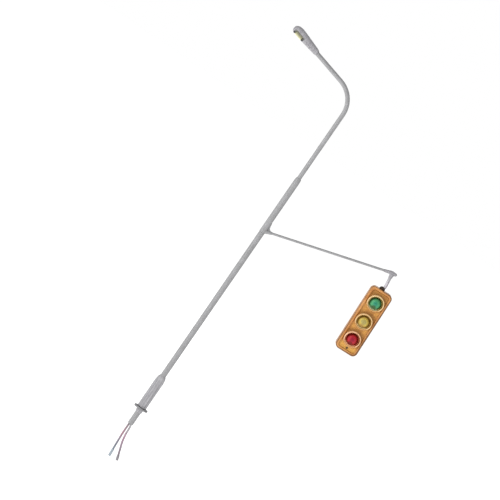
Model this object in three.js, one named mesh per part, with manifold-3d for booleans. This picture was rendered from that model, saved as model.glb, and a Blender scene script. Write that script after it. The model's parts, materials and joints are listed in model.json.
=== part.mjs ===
// Model signal mast for a railway layout: a hollow mast in a ferrule and board flange, a bent top tube that
// carries a street lamp, and a side arm that hangs a three-light traffic signal from a knuckle joint.
// Millimetres, +Z up the mast, +X towards the signal, which faces -Y. The origin is the centre of the
// flange's underside, where the mast stands on the board and its tail goes down through the hole.
import * as THREE from 'three';
import { mergeVertices } from 'three/addons/utils/BufferGeometryUtils.js';
import Module from 'manifold-3d';

const DEGREE = Math.PI / 180;

// Fits: radial clearance of a push fit or turning fit, and the gap between two faces that meet
const FIT = 0.03;
const FACE_GAP = 0.04;

// Sides of round pieces, by size
const TUBE_SIDES = 24;
const LENS_SIDES = 32;
const SMALL_SIDES = 12;
const WIRE_SIDES = 8;

// Mast tube and what stands it on the board
const TUBE_RADIUS = 0.745;
const TUBE_BORE = 0.54;
const BORE_TAPER = 0.36;
const TAIL_BOTTOM = -4.53;
const TENON_RADIUS = 0.59;
const TENON_BORE = 0.4;
const TENON_LENGTH = 4;
const FLANGE_RADIUS = 1.92;
const FLANGE_THICK = 0.5;
const FLANGE_EDGE = 0.1;
const FLANGE_BORE = 1.0;
const NECK_DEPTH = 1.03;
const NECK_END_WALL = 0.06;
const NECK_TAPER = 0.05;
const FERRULE_RADIUS = 1.22;
const FERRULE_SHOULDER = [
  [1.22, 8.35], [1.18, 8.72], [1.13, 9.13], [1.07, 9.49], [0.96, 9.79], [0.83, 10.05],
];
const FERRULE_TOP = 10.1;
const FERRULE_SIDES = 20;
const FLUTE_DEPTH = 0.1;

// Leads out of the tail: where each leaves, and the hand-laid route down to its tinned tip
const LEAD_RADIUS = 0.26;
const TIP_RADIUS = 0.35;
const TIP_LENGTH = { left: 2.0, right: 1.4 };
const LEAD_ROUTES = {
  left: [[-0.265, -4.3], [-0.265, -6.6], [-0.22, -8.25], [-0.1, -10.3], [0.05, -12.45], [0.18, -14.24]],
  right: [
    [0.265, -4.3], [0.27, -4.65], [0.42, -5.2], [0.5, -6.2], [0.56, -7.4], [0.94, -9.5],
    [1.57, -11.45], [2.11, -13.1], [2.43, -14.16],
  ],
};
const LEADS = [
  { side: 'left', insulation: 'redLead', tip: 'blueTip' },
  { side: 'right', insulation: 'greyLead', tip: 'tinnedTip' },
];
const PLUG_TOP = -3.4;
const PLUG_BOTTOM = -4.2;
const MAST_WIRES_RADIUS = 0.3;

// Tee sleeve on the mast, with the boss that holds the side arm
const SLEEVE_RADIUS = 0.815;
const SLEEVE_BORE = TENON_RADIUS + FIT;
const SLEEVE_BOTTOM = 54.1;
const SLEEVE_SHOULDER = 69.31;
const SLEEVE_TOP = 70.35;
const SLEEVE_TOP_RADIUS = 0.7;
const BOSS_ROOT_RADIUS = 0.68;
const BOSS_TIP_RADIUS = 0.42;
const BOSS_REACH = 2.3;
const GUSSET_TOP = 57.3;
const GUSSET_THICK = 0.36;
const GUSSET_OUTLINE = [[0.64, 0], [0.88, 0], [1.15, -1.6], [1.9, -2.05], [0.64, -2.4]];

// Side arm, straight and rising away from the mast
const ARM_RISE = 16.12 * DEGREE;
const ARM_AXIS_AT_MAST = 54.45;
const ARM_RADIUS = 0.31;
const ARM_BORE = 0.2;
const ARM_START = 1.15;
const ARM_END = 33.5;

// Upper tube: straight out of the sleeve, then one bend towards the lamp
const TOP_TUBE_RADIUS = 0.58;
const TOP_TUBE_BORE = 0.37;
const TOP_TUBE_START = 60.7;
const CORNER_HEIGHT = 94.9;
const BEND_RADIUS = 7;
const LAMP_RISE = 15 * DEGREE;
const NECK_DISTANCE = 14.47;
const TUBE_IN_LAMP = 1.5;
const TOP_TUBE_STEPS = 40;
const TOP_WIRES_RADIUS = 0.22;
const WIRES_IN_LAMP = 0.6;

// Street lamp head: distance from its neck, then its underside, top and half width there
const LAMP_SECTIONS = [
  [0, -0.66, 0.7, 0.68],
  [0.6, -0.78, 0.9, 0.88],
  [2.6, -0.88, 1.08, 1.2],
  [4.5, -0.98, 1.25, 1.36],
  [6.5, -1.12, 1.38, 1.4],
  [7.6, -1.12, 1.26, 1.25],
  [8.25, -0.85, 0.88, 0.92],
  [8.6, -0.35, 0.45, 0.48],
];
const LAMP_SIDES = 20;
const LAMP_SQUARENESS = 2.6;
const LAMP_INSET = 0.26;
const LAMP_SPLIT = -0.3;
const CAVITY_START = 2.6;
const NECK_BLOCK_END = 2.3;
const WINDOW = { from: 5.3, to: 7.5, halfWidth: 1.15, low: -0.98, high: 0 };
const PAD = { length: 0.45, halfWidth: 0.95, low: -1, high: -0.04 };
const LAMP_BOARD = { thick: 0.25, width: 1.4, from: 3.6, to: 7.4 };
const REACH = 10;

// Signal: the housing hangs below the knuckle pin at PIN_X, and leans a little out at its foot
const PIN_X = 33.32;
const SIGNAL_LEAN = 1.8 * DEGREE;
const SIGNAL_TOP = 59;
const SIGNAL_HEIGHT = 18.16;
const SIGNAL_WIDTH = 6.1;
const SIGNAL_CORNER = 1.25;
const SIGNAL_MIDDLE = SIGNAL_TOP - SIGNAL_HEIGHT / 2;
const RIM_WIDTH = 0.75;
const RIM_FRONT = 1.7;
const PANEL_FRONT = 1.35;
const PANEL_BACK = 1.0;
const SHELL_BACK = -1.0;
const COVER_BACK = -1.7;
const WALL = 0.5;
const GREEN_HEIGHT = 5.45;
const LENS_SPACING = 5.27;
const LIGHTS = [
  { name: 'green', height: GREEN_HEIGHT, colour: 0x50af82 },
  { name: 'amber', height: 0, colour: 0xdcc86e },
  { name: 'red', height: -LENS_SPACING, colour: 0xc8283c },
];
const MIDDLE_LIGHT_DROP = 9.15;
const MIDDLE_LIGHT = SIGNAL_HEIGHT / 2 - MIDDLE_LIGHT_DROP;

const BEZEL_RADIUS = 1.79;
const BEZEL_BORE = 1.54;
const BEZEL_FRONT = 1.62;
const BEZEL_COLLAR_RADIUS = 2.05;
const COLLAR_THICK = 0.3;
const LENS_RADIUS = 1.49;
const LENS_FLANGE_RADIUS = 1.75;
const LENS_DOME_START = 1.35;
const LENS_DOME_HEIGHT = 1.15;
const LENS_BACK = 0.3;
const LENS_HOLLOW_RADIUS = 0.85;
const LENS_HOLLOW_DEPTH = 0.35;
const VISOR_RADIUS = 2.2;
const VISOR_BORE = 1.85;
const VISOR_FRONT = 3.1;
const VISOR_END_FRONT = 1.9;
const VISOR_FOOT_FRONT = 1.62;
const VISOR_OPEN = 50 * DEGREE;
const BOARD = { width: 4.2, height: 15.3, corner: 0.6, lift: 0.5, front: -0.3, thick: 0.45 };
const CHIP = { width: 1.6, height: 0.9, thick: 0.42 };
const LIP_THICK = 0.25;
const LIP_FRONT = -0.35;
const SCREW_DROP = 16.95;
const SCREW_RADIUS = 0.15;
const SCREW_HEAD_RADIUS = 0.28;
const SCREW_HEAD_THICK = 0.16;

// Hanger: a stem that turns in the arm's end fitting, and the knuckle that the signal swings on
const PIN_RADIUS = 0.1;
const PIN_HEIGHT = 59.4;
const STEM_TILT = 6.5 * DEGREE;
const STEM_RADIUS = 0.41;
const STEM_SHOULDER = 0.78;
const STEM_TOP = 4.25;
const TONGUE_THICK = 0.34;
const TONGUE_RADIUS = 0.24;
const TONGUE_TAPER = 0.45;
const KNUCKLE_RADIUS = 0.75;
const KNUCKLE_SHIFT = -0.42;
const KNUCKLE_THICK = 0.86;
const SLOT_THICK = 0.42;
const BARREL_BOTTOM = 3.1;
const BARREL_TOP = 4.68;
const BARREL_OUTLINE = [[0.51, BARREL_BOTTOM], [0.54, 3.5], [0.62, 3.95], [0.64, 4.2], [0.4, 4.6]];
const BARREL_FLOOR = 4.3;
const SOCKET_START = 31.9;
const SOCKET_ROOT_RADIUS = 0.4;
const SOCKET_TIP_RADIUS = 0.54;
const ELBOW = { x: 32.8, z: 63.87, radius: 0.54 };
const NOSE = { x: 33.66, z: 63.93, radius: 0.43 };

const FINISH = {
  paintedTube: [0xa5a5a6, 0.5, 0.35],
  darkMetal: [0x4f5052, 0.55, 0.4],
  greyMoulding: [0xa6a4ac, 0.6, 0],
  blackMoulding: [0x1e1a16, 0.6, 0],
  orangeMoulding: [0xcf8a48, 0.45, 0],
  creamMoulding: [0xfad7a0, 0.5, 0],
  redLead: [0x8d5f69, 0.5, 0],
  greyLead: [0x8b8189, 0.5, 0],
  blueTip: [0xa9c9dc, 0.4, 0.2],
  tinnedTip: [0x8f8d90, 0.35, 0.6],
  copperWire: [0xb0683a, 0.4, 0.6],
  circuitBoard: [0x2e5c3a, 0.5, 0],
  warmWindow: [0xf3edc0, 0.2, 0],
  ledChip: [0xefe9cf, 0.35, 0],
};

const wasm = await Module();
wasm.setup();

// One closed mesh with shared vertices and its faces pointing out
function closed(geometry) {
  geometry.deleteAttribute('normal');
  geometry.deleteAttribute('uv');
  const merged = mergeVertices(geometry, 1e-4);
  const index = Array.from(merged.index.array);
  const kept = [];
  let volume = 0;
  const [a, b, c] = [new THREE.Vector3(), new THREE.Vector3(), new THREE.Vector3()];
  for (let i = 0; i < index.length; i += 3) {
    const [p, q, r] = index.slice(i, i + 3);
    if (p === q || q === r || r === p) continue;
    kept.push(p, q, r);
    a.fromBufferAttribute(merged.attributes.position, p);
    b.fromBufferAttribute(merged.attributes.position, q);
    c.fromBufferAttribute(merged.attributes.position, r);
    volume += a.dot(b.cross(c));
  }
  if (volume < 0) kept.reverse();
  merged.setIndex(kept);
  return merged;
}

function solid(geometry) {
  const mesh = closed(geometry);
  return new wasm.Manifold(new wasm.Mesh({
    numProp: 3,
    vertProperties: new Float32Array(mesh.attributes.position.array),
    triVerts: new Uint32Array(mesh.index.array),
  }));
}

function geometryOf(manifold) {
  const mesh = manifold.getMesh();
  const geometry = new THREE.BufferGeometry();
  geometry.setAttribute('position', new THREE.BufferAttribute(mesh.vertProperties, 3));
  geometry.setIndex(new THREE.BufferAttribute(mesh.triVerts, 1));
  return geometry;
}

const join = (first, ...others) => others.reduce((whole, other) => whole.add(other), first);
const cut = (first, ...others) => others.reduce((whole, other) => whole.subtract(other), first);

// A turned shape about +Z, from [radius, height] points
function turned(profile, sides = TUBE_SIDES) {
  const points = profile.map(([radius, height]) => new THREE.Vector2(radius, height));
  return new THREE.LatheGeometry(points, sides).rotateX(Math.PI / 2);
}

const cone = (low, high, bottom, top, sides) => turned(
  [[0, bottom], [low, bottom], [high, top], [0, top]], sides);
const rod = (radius, bottom, top, sides) => cone(radius, radius, bottom, top, sides);

// A ring or tube about +Z: its outline as [radius, height] points, closed on itself
const ring = (profile, sides) => turned([...profile, profile[0]], sides);

// Turned about Y so that +Z leans by an angle from upright towards +X, then moved in the plane of the arms
const lean = (geometry, angle, x, z) => geometry.rotateY(angle).translate(x, 0, z);

function box(width, depth, height, x, y, z) {
  return new THREE.BoxGeometry(width, depth, height).translate(x, y, z);
}

// A flat outline drawn in X and Y, extruded from one Z to another
function slab(shape, from, to, curveSegments = 6) {
  return new THREE.ExtrudeGeometry(shape, { depth: to - from, bevelEnabled: false, curveSegments })
    .translate(0, 0, from);
}

function roundedRectangle(width, height, radius) {
  const [x, y] = [width / 2, height / 2];
  const shape = new THREE.Shape();
  shape.absarc(x - radius, y - radius, radius, 0, Math.PI / 2);
  shape.absarc(radius - x, y - radius, radius, Math.PI / 2, Math.PI);
  shape.absarc(radius - x, radius - y, radius, Math.PI, 1.5 * Math.PI);
  shape.absarc(x - radius, radius - y, radius, 1.5 * Math.PI, 2 * Math.PI);
  return shape;
}

const housingOutline = (inset) => roundedRectangle(
  SIGNAL_WIDTH - 2 * inset, SIGNAL_HEIGHT - 2 * inset, SIGNAL_CORNER - inset * 0.8);

// A round section swept along a curve
function swept(curve, radius, steps, sides, bore = 0) {
  const section = new THREE.Shape().absarc(0, 0, radius, 0, 2 * Math.PI);
  if (bore > 0) section.holes.push(new THREE.Path().absarc(0, 0, bore, 0, 2 * Math.PI, true));
  return new THREE.ExtrudeGeometry(section, { steps, curveSegments: sides / 2, extrudePath: curve });
}

// Straight up, one round bend, and straight on towards the lamp, by distance along the whole path
class BentPath extends THREE.Curve {
  constructor(start, endDistance) {
    super();
    this.turn = Math.PI / 2 - LAMP_RISE;
    this.tangent = BEND_RADIUS * Math.tan(this.turn / 2);
    this.start = start;
    this.rise = CORNER_HEIGHT - this.tangent - start;
    this.arc = BEND_RADIUS * this.turn;
    this.total = this.rise + this.arc + endDistance - this.tangent;
  }

  getPoint(t, target = new THREE.Vector3()) {
    const travelled = t * this.total;
    if (travelled <= this.rise) return target.set(0, 0, this.start + travelled);
    const angle = Math.min((travelled - this.rise) / BEND_RADIUS, this.turn);
    const onward = Math.max(travelled - this.rise - this.arc, 0);
    const x = -BEND_RADIUS * (1 - Math.cos(angle)) - onward * Math.cos(LAMP_RISE);
    const z = this.start + this.rise + BEND_RADIUS * Math.sin(angle) + onward * Math.sin(LAMP_RISE);
    return target.set(x, 0, z);
  }
}

const model = new THREE.Group();

function piece(group, name, geometry, finish) {
  const [color, roughness, metalness] = FINISH[finish] ?? [finish, 0.15, 0];
  const material = new THREE.MeshStandardMaterial({ color, roughness, metalness });
  const mesh = new THREE.Mesh(closed(geometry), material);
  mesh.name = name;
  group.add(mesh);
  return mesh;
}

// Mast, ferrule and flange ----------------------------------------------------------------------------

function mastTube() {
  return ring([
    [TUBE_RADIUS, TAIL_BOTTOM],
    [TUBE_RADIUS, SLEEVE_BOTTOM - FACE_GAP],
    [TENON_RADIUS, SLEEVE_BOTTOM - FACE_GAP],
    [TENON_RADIUS, SLEEVE_BOTTOM + TENON_LENGTH],
    [TENON_BORE, SLEEVE_BOTTOM + TENON_LENGTH],
    [TENON_BORE, SLEEVE_BOTTOM - BORE_TAPER],
    [TUBE_BORE, SLEEVE_BOTTOM - 2 * BORE_TAPER],
    [TUBE_BORE, TAIL_BOTTOM],
  ]);
}

// The neck goes down through the flange, and the lower part is fluted, by drawing every second edge
// of the turned shape inwards
function baseFerrule() {
  const bottom = FLANGE_THICK + FACE_GAP;
  const bore = TUBE_RADIUS + FIT;
  const neck = FLANGE_BORE - FIT;
  const geometry = ring([
    [bore, -NECK_DEPTH],
    [bore + NECK_END_WALL, -NECK_DEPTH],
    [neck - NECK_TAPER, -NECK_DEPTH / 3],
    [neck, 0],
    [neck, bottom],
    [FERRULE_RADIUS, bottom],
    ...FERRULE_SHOULDER,
    [bore, FERRULE_TOP],
  ], FERRULE_SIDES);
  const position = geometry.attributes.position;
  for (let i = 0; i < position.count; i += 1) {
    const [x, y] = [position.getX(i), position.getY(i)];
    const edge = Math.round((Math.atan2(y, x) / (2 * Math.PI)) * FERRULE_SIDES);
    if (Math.hypot(x, y) < FERRULE_RADIUS - FLUTE_DEPTH || edge % 2 === 0) continue;
    const scale = 1 - FLUTE_DEPTH / FERRULE_RADIUS;
    position.setXY(i, x * scale, y * scale);
  }
  return geometry;
}

function boardFlange() {
  return ring([
    [FLANGE_RADIUS - FLANGE_EDGE, FLANGE_THICK],
    [FLANGE_RADIUS, FLANGE_THICK - FLANGE_EDGE],
    [FLANGE_RADIUS, FLANGE_EDGE],
    [FLANGE_RADIUS - FLANGE_EDGE, 0],
    [FLANGE_BORE, 0],
    [FLANGE_BORE, FLANGE_THICK],
  ]);
}

// A lead runs down its route, and a fatter tip takes over for the last stretch
function leadCurve(side) {
  return new THREE.CatmullRomCurve3(LEAD_ROUTES[side].map(([x, z]) => new THREE.Vector3(x, 0, z)));
}

class Stretch extends THREE.Curve {
  constructor(whole, from, to) {
    super();
    Object.assign(this, { whole, from, to });
  }

  getPoint(t, target) {
    return this.whole.getPointAt(this.from + t * (this.to - this.from), target);
  }
}

const base = new THREE.Group();
piece(base, 'mast_tube', mastTube(), 'paintedTube');
piece(base, 'base_ferrule', baseFerrule(), 'greyMoulding');
piece(base, 'board_flange', boardFlange(), 'darkMetal');
piece(base, 'lead_plug', rod(TUBE_BORE - FIT, PLUG_BOTTOM, PLUG_TOP), 'blackMoulding');
for (const { side, insulation, tip } of LEADS) {
  const curve = leadCurve(side);
  const length = curve.getLength();
  const split = 1 - TIP_LENGTH[side] / length;
  const lead = new Stretch(curve, 0, split - FACE_GAP / length);
  piece(base, `lead_${side}`, swept(lead, LEAD_RADIUS, 12, WIRE_SIDES), insulation);
  piece(base, `lead_tip_${side}`, swept(new Stretch(curve, split, 1), TIP_RADIUS, 3, WIRE_SIDES), tip);
}
const mastWires = rod(
  MAST_WIRES_RADIUS, PLUG_TOP + FACE_GAP, SLEEVE_BOTTOM + TENON_LENGTH, WIRE_SIDES);
piece(base, 'mast_feed_wires', mastWires, 'copperWire');

// Tee sleeve and side arm -----------------------------------------------------------------------------

const ARM_LEAN = Math.PI / 2 - ARM_RISE;
const alongArm = (geometry) => lean(geometry, ARM_LEAN, 0, ARM_AXIS_AT_MAST);

function teeSleeve() {
  const body = solid(turned([
    [0, SLEEVE_BOTTOM],
    [SLEEVE_RADIUS, SLEEVE_BOTTOM],
    [SLEEVE_RADIUS, SLEEVE_SHOULDER],
    [SLEEVE_TOP_RADIUS, SLEEVE_TOP],
    [0, SLEEVE_TOP],
  ]));
  const boss = solid(alongArm(cone(BOSS_ROOT_RADIUS, BOSS_TIP_RADIUS, 0.5, BOSS_REACH, TUBE_SIDES)));
  const gussetOutline = new THREE.Shape(
    GUSSET_OUTLINE.map(([x, drop]) => new THREE.Vector2(x, GUSSET_TOP + drop)));
  const gusset = solid(slab(gussetOutline, -GUSSET_THICK / 2, GUSSET_THICK / 2).rotateX(Math.PI / 2));
  const bore = solid(rod(SLEEVE_BORE, SLEEVE_BOTTOM - 1, SLEEVE_TOP + 1, TUBE_SIDES));
  const armSocket = solid(alongArm(
    rod(ARM_RADIUS + FIT, ARM_START - FACE_GAP, BOSS_REACH + 1, SMALL_SIDES)));
  const wireHole = solid(alongArm(rod(ARM_BORE, 0, ARM_START, SMALL_SIDES)));
  return geometryOf(cut(join(body, boss, gusset), bore, armSocket, wireHole));
}

function armTube() {
  return alongArm(ring([
    [ARM_RADIUS, ARM_START],
    [ARM_RADIUS, ARM_END],
    [ARM_BORE, ARM_END],
    [ARM_BORE, ARM_START],
  ], SMALL_SIDES));
}

// The stem's own axis runs up from the knuckle pin, leaning back towards the mast
const onStem = (geometry) => lean(geometry, -STEM_TILT, PIN_X, PIN_HEIGHT);

function armEndFitting() {
  const barrel = solid(onStem(turned([
    [0, BARREL_BOTTOM],
    ...BARREL_OUTLINE,
    [0, BARREL_TOP],
  ])));
  const socket = solid(alongArm(
    cone(SOCKET_ROOT_RADIUS, SOCKET_TIP_RADIUS, SOCKET_START, ARM_END + 0.5, TUBE_SIDES)));
  const nose = wasm.Manifold.hull([ELBOW, NOSE].map(({ x, z, radius }) => solid(
    new THREE.SphereGeometry(radius, LENS_SIDES / 2, SMALL_SIDES).translate(x, 0, z))));
  const armBore = solid(alongArm(
    rod(ARM_RADIUS + FIT, SOCKET_START - 1, ARM_END + FACE_GAP, SMALL_SIDES)));
  const stemBore = solid(onStem(rod(STEM_RADIUS + FIT, 0, BARREL_FLOOR, TUBE_SIDES)));
  return geometryOf(cut(join(barrel, socket, nose), armBore, stemBore));
}

const arm = new THREE.Group();
piece(arm, 'tee_sleeve', teeSleeve(), 'paintedTube');
piece(arm, 'arm_tube', armTube(), 'paintedTube');
piece(arm, 'arm_end_fitting', armEndFitting(), 'greyMoulding');
const armWires = rod(ARM_BORE - 0.05, ARM_START + 0.1, ARM_END - 0.1, WIRE_SIDES);
piece(arm, 'arm_feed_wires', alongArm(armWires), 'copperWire');

// Upper tube and street lamp --------------------------------------------------------------------------

// In the lamp's own frame +Z runs to its tip, +X is up and Y is across
const LAMP_NECK = new THREE.Vector3(
  -NECK_DISTANCE * Math.cos(LAMP_RISE), 0, CORNER_HEIGHT + NECK_DISTANCE * Math.sin(LAMP_RISE));
const LAMP_LEAN = LAMP_RISE - Math.PI / 2;

// A closed skin over the lamp's rounded sections, drawn in by a wall on every side
function lampSkin(inset, from) {
  const vertices = [];
  const sections = LAMP_SECTIONS.filter(([at]) => at >= from);
  for (const [at, low, high, half] of sections) {
    const across = half - inset * half;
    const [middle, tall] = [(low + high) / 2, (high - low) / 2 - (inset * (high - low)) / 2];
    for (let i = 0; i < LAMP_SIDES; i += 1) {
      const angle = (2 * Math.PI * i) / LAMP_SIDES;
      const [c, s] = [Math.cos(angle), Math.sin(angle)];
      const power = LAMP_SQUARENESS;
      const bulge = (Math.abs(c) ** power + Math.abs(s) ** power) ** (-1 / power);
      vertices.push(middle + tall * c * bulge, across * s * bulge, at - (inset * at) / 8);
    }
  }
  const ends = [sections[0], sections.at(-1)];
  for (const [at, low, high] of ends) vertices.push((low + high) / 2, 0, at - (inset * at) / 8);
  const index = [];
  const count = sections.length;
  for (let r = 0; r < count - 1; r += 1) {
    for (let i = 0; i < LAMP_SIDES; i += 1) {
      const next = (i + 1) % LAMP_SIDES;
      const [a, b, c, d] = [r, r, r + 1, r + 1].map((row, k) => row * LAMP_SIDES + (k % 2 ? next : i));
      index.push(a, b, d, a, d, c);
    }
  }
  const start = count * LAMP_SIDES;
  for (let i = 0; i < LAMP_SIDES; i += 1) {
    const next = (i + 1) % LAMP_SIDES;
    const last = (count - 1) * LAMP_SIDES;
    index.push(start, next, i, start + 1, last + i, last + next);
  }
  const geometry = new THREE.BufferGeometry();
  geometry.setAttribute('position', new THREE.Float32BufferAttribute(vertices, 3));
  geometry.setIndex(index);
  return geometry;
}

function lampBody() {
  return solid(lampSkin(0, 0));
}

function lampCavity() {
  return solid(lampSkin(LAMP_INSET, CAVITY_START));
}

// The half of space above or below the split between the lamp's cap and its tray
function aboveSplit(height) {
  return solid(box(REACH, REACH, 3 * REACH, height + REACH / 2, 0, 0));
}

// Everything between two distances from the lamp's neck, below a level
function lampStretch(from, to, level = REACH) {
  return solid(box(2 * REACH, REACH, to - from, level - REACH, 0, (from + to) / 2));
}

const NOTCH = {
  from: WINDOW.from - PAD.length - 2 * FACE_GAP,
  to: WINDOW.to + PAD.length + 2 * FACE_GAP,
  level: WINDOW.high + FACE_GAP,
};

// The cap is the whole upper shell with the neck block and the nose, notched from below for the light
function lampCap() {
  const socket = solid(rod(TOP_TUBE_RADIUS + FIT, -1, TUBE_IN_LAMP + FACE_GAP, TUBE_SIDES));
  const wireWay = solid(rod(TOP_TUBE_BORE - 0.05, 0, CAVITY_START + 0.5, SMALL_SIDES));
  const neck = lampStretch(-1, NECK_BLOCK_END);
  const nose = lampStretch(NOTCH.to, REACH);
  const upper = lampBody().intersect(join(aboveSplit(LAMP_SPLIT), neck, nose));
  const notch = lampStretch(NOTCH.from, NOTCH.to, NOTCH.level);
  return geometryOf(cut(upper, lampCavity(), socket, wireWay, notch));
}

// The tray covers the wires between the neck block and the notch
function lampTray() {
  const below = cut(lampBody(), aboveSplit(LAMP_SPLIT - FACE_GAP));
  const stretch = below.intersect(lampStretch(NECK_BLOCK_END + FACE_GAP, NOTCH.from));
  return geometryOf(cut(stretch, lampCavity()));
}

const top = new THREE.Group();
const topPath = new BentPath(TOP_TUBE_START, NECK_DISTANCE + TUBE_IN_LAMP - FACE_GAP);
const topWirePath = new BentPath(TOP_TUBE_START, NECK_DISTANCE + TUBE_IN_LAMP + WIRES_IN_LAMP);
const topTube = swept(topPath, TOP_TUBE_RADIUS, TOP_TUBE_STEPS, SMALL_SIDES, TOP_TUBE_BORE);
const topWires = swept(topWirePath, TOP_WIRES_RADIUS, TOP_TUBE_STEPS, WIRE_SIDES);
piece(top, 'top_tube', topTube, 'paintedTube');
piece(top, 'top_feed_wires', topWires, 'copperWire');

const lamp = new THREE.Group();
lamp.position.copy(LAMP_NECK);
lamp.rotation.y = LAMP_LEAN;
piece(lamp, 'lamp_cap', lampCap(), 'greyMoulding');
piece(lamp, 'lamp_tray', lampTray(), 'greyMoulding');
const windowHeight = WINDOW.high - WINDOW.low;
const windowLevel = (WINDOW.high + WINDOW.low) / 2;
const lampBlock = (height, halfWidth, level, from, to) => box(
  height, 2 * halfWidth, to - from, level, 0, (from + to) / 2);
const lampWindow = lampBlock(windowHeight, WINDOW.halfWidth, windowLevel, WINDOW.from, WINDOW.to);
piece(lamp, 'lamp_window', lampWindow, 'warmWindow');
for (const [name, start] of [
  ['lamp_pad_inner', WINDOW.from - FACE_GAP - PAD.length],
  ['lamp_pad_outer', WINDOW.to + FACE_GAP],
]) {
  const pad = lampBlock(
    PAD.high - PAD.low, PAD.halfWidth, (PAD.high + PAD.low) / 2, start, start + PAD.length);
  piece(lamp, name, pad, 'blackMoulding');
}
const boardLevel = WINDOW.high + FACE_GAP + LAMP_BOARD.thick / 2;
const lampBoard = lampBlock(
  LAMP_BOARD.thick, LAMP_BOARD.width / 2, boardLevel, LAMP_BOARD.from, LAMP_BOARD.to);
piece(lamp, 'lamp_board', lampBoard, 'circuitBoard');

// Hanger stem -----------------------------------------------------------------------------------------

// Drawn in X and Y and stood up, so that its thickness lies along Y
const standing = (shape, thick) => slab(shape, -thick / 2, thick / 2, 8).rotateX(Math.PI / 2);

const crossPin = (radius) => rod(radius, -KNUCKLE_THICK, KNUCKLE_THICK, SMALL_SIDES).rotateX(Math.PI / 2);

function hangerStem() {
  const stem = solid(rod(STEM_RADIUS, STEM_SHOULDER, STEM_TOP, TUBE_SIDES));
  const tongueOutline = new THREE.Shape();
  tongueOutline.absarc(0, 0, TONGUE_RADIUS, Math.PI, 2 * Math.PI);
  for (const side of [1, -1]) {
    const heights = [TONGUE_TAPER, STEM_SHOULDER + 0.1];
    if (side < 0) heights.reverse();
    for (const height of heights) tongueOutline.lineTo(side * (STEM_RADIUS - 0.04), height);
  }
  const tongue = solid(standing(tongueOutline, TONGUE_THICK));
  return onStem(geometryOf(cut(join(stem, tongue), solid(crossPin(PIN_RADIUS + FIT)))));
}

const hanger = new THREE.Group();
piece(hanger, 'hanger_stem', hangerStem(), 'greyMoulding');

// Traffic signal --------------------------------------------------------------------------------------

// From here on everything is placed from the knuckle pin. The knuckle is a half-round block with a slot
// across it for the stem's tongue, and it stands on the housing a little to the mast's side of the pin.
const FOOT = SIGNAL_TOP + FACE_GAP - PIN_HEIGHT;

function knuckle() {
  const outline = new THREE.Shape().absarc(KNUCKLE_SHIFT, FOOT, KNUCKLE_RADIUS, 0, Math.PI);
  const slotDepth = TONGUE_RADIUS + FIT;
  const slot = solid(box(REACH, SLOT_THICK, REACH, 0, 0, REACH / 2 - slotDepth));
  const block = solid(standing(outline, KNUCKLE_THICK));
  return geometryOf(cut(block, slot, solid(crossPin(PIN_RADIUS + FIT / 2))));
}

const knucklePin = () => rod(PIN_RADIUS, -KNUCKLE_THICK / 2, KNUCKLE_THICK / 2, SMALL_SIDES)
  .rotateX(Math.PI / 2);

// From here on the signal is drawn from the front: X to the right, Y up, Z out of its face
const eachLight = (make) => LIGHTS.map((light) => make(MIDDLE_LIGHT + light.height));

const screwY = SIGNAL_HEIGHT / 2 - SCREW_DROP;

function housing() {
  const shell = solid(slab(housingOutline(0), SHELL_BACK, RIM_FRONT));
  const recess = solid(slab(housingOutline(RIM_WIDTH), PANEL_FRONT, RIM_FRONT + 1));
  const cavity = solid(slab(housingOutline(WALL), SHELL_BACK - 1, PANEL_BACK));
  const openings = eachLight((y) => solid(
    rod(BEZEL_RADIUS + FIT, 0, RIM_FRONT + 1, LENS_SIDES).translate(0, y, 0)));
  const screwHole = solid(rod(SCREW_RADIUS + FIT, 0, RIM_FRONT + 1, SMALL_SIDES).translate(0, screwY, 0));
  return geometryOf(cut(shell, recess, cavity, ...openings, screwHole));
}

function backCover() {
  const plate = solid(slab(housingOutline(0), COVER_BACK, SHELL_BACK - FACE_GAP));
  const lipOuter = solid(slab(housingOutline(WALL + FIT), SHELL_BACK - FACE_GAP - 0.1, LIP_FRONT));
  const lipInner = solid(slab(housingOutline(WALL + FIT + LIP_THICK), SHELL_BACK - FACE_GAP, LIP_FRONT + 1));
  const post = solid(rod(0.4, SHELL_BACK - 0.1, BOARD.front, SMALL_SIDES).translate(0, screwY, 0));
  const screwHole = solid(rod(SCREW_RADIUS + FIT, SHELL_BACK, 1, SMALL_SIDES).translate(0, screwY, 0));
  return geometryOf(cut(join(cut(join(plate, lipOuter), lipInner), post), screwHole));
}

function bezel() {
  const back = PANEL_BACK - FACE_GAP - COLLAR_THICK;
  return ring([
    [BEZEL_COLLAR_RADIUS, back],
    [BEZEL_COLLAR_RADIUS, back + COLLAR_THICK],
    [BEZEL_RADIUS, back + COLLAR_THICK],
    [BEZEL_RADIUS, BEZEL_FRONT],
    [BEZEL_BORE, BEZEL_FRONT],
    [BEZEL_BORE, back],
  ], LENS_SIDES);
}

function lens() {
  const flangeFront = PANEL_BACK - COLLAR_THICK - 2 * FACE_GAP;
  const profile = [
    [0, LENS_BACK + LENS_HOLLOW_DEPTH],
    [LENS_HOLLOW_RADIUS, LENS_BACK + LENS_HOLLOW_DEPTH / 2],
    [LENS_HOLLOW_RADIUS, LENS_BACK],
    [LENS_FLANGE_RADIUS, LENS_BACK],
    [LENS_FLANGE_RADIUS, flangeFront],
    [LENS_RADIUS, flangeFront],
  ];
  const domeSteps = 6;
  for (let i = 0; i <= domeSteps; i += 1) {
    const angle = (i / domeSteps) * (Math.PI / 2);
    const radius = i === domeSteps ? 0 : LENS_RADIUS * Math.cos(angle);
    profile.push([radius, LENS_DOME_START + LENS_DOME_HEIGHT * Math.sin(angle)]);
  }
  return turned(profile, LENS_SIDES);
}

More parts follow.
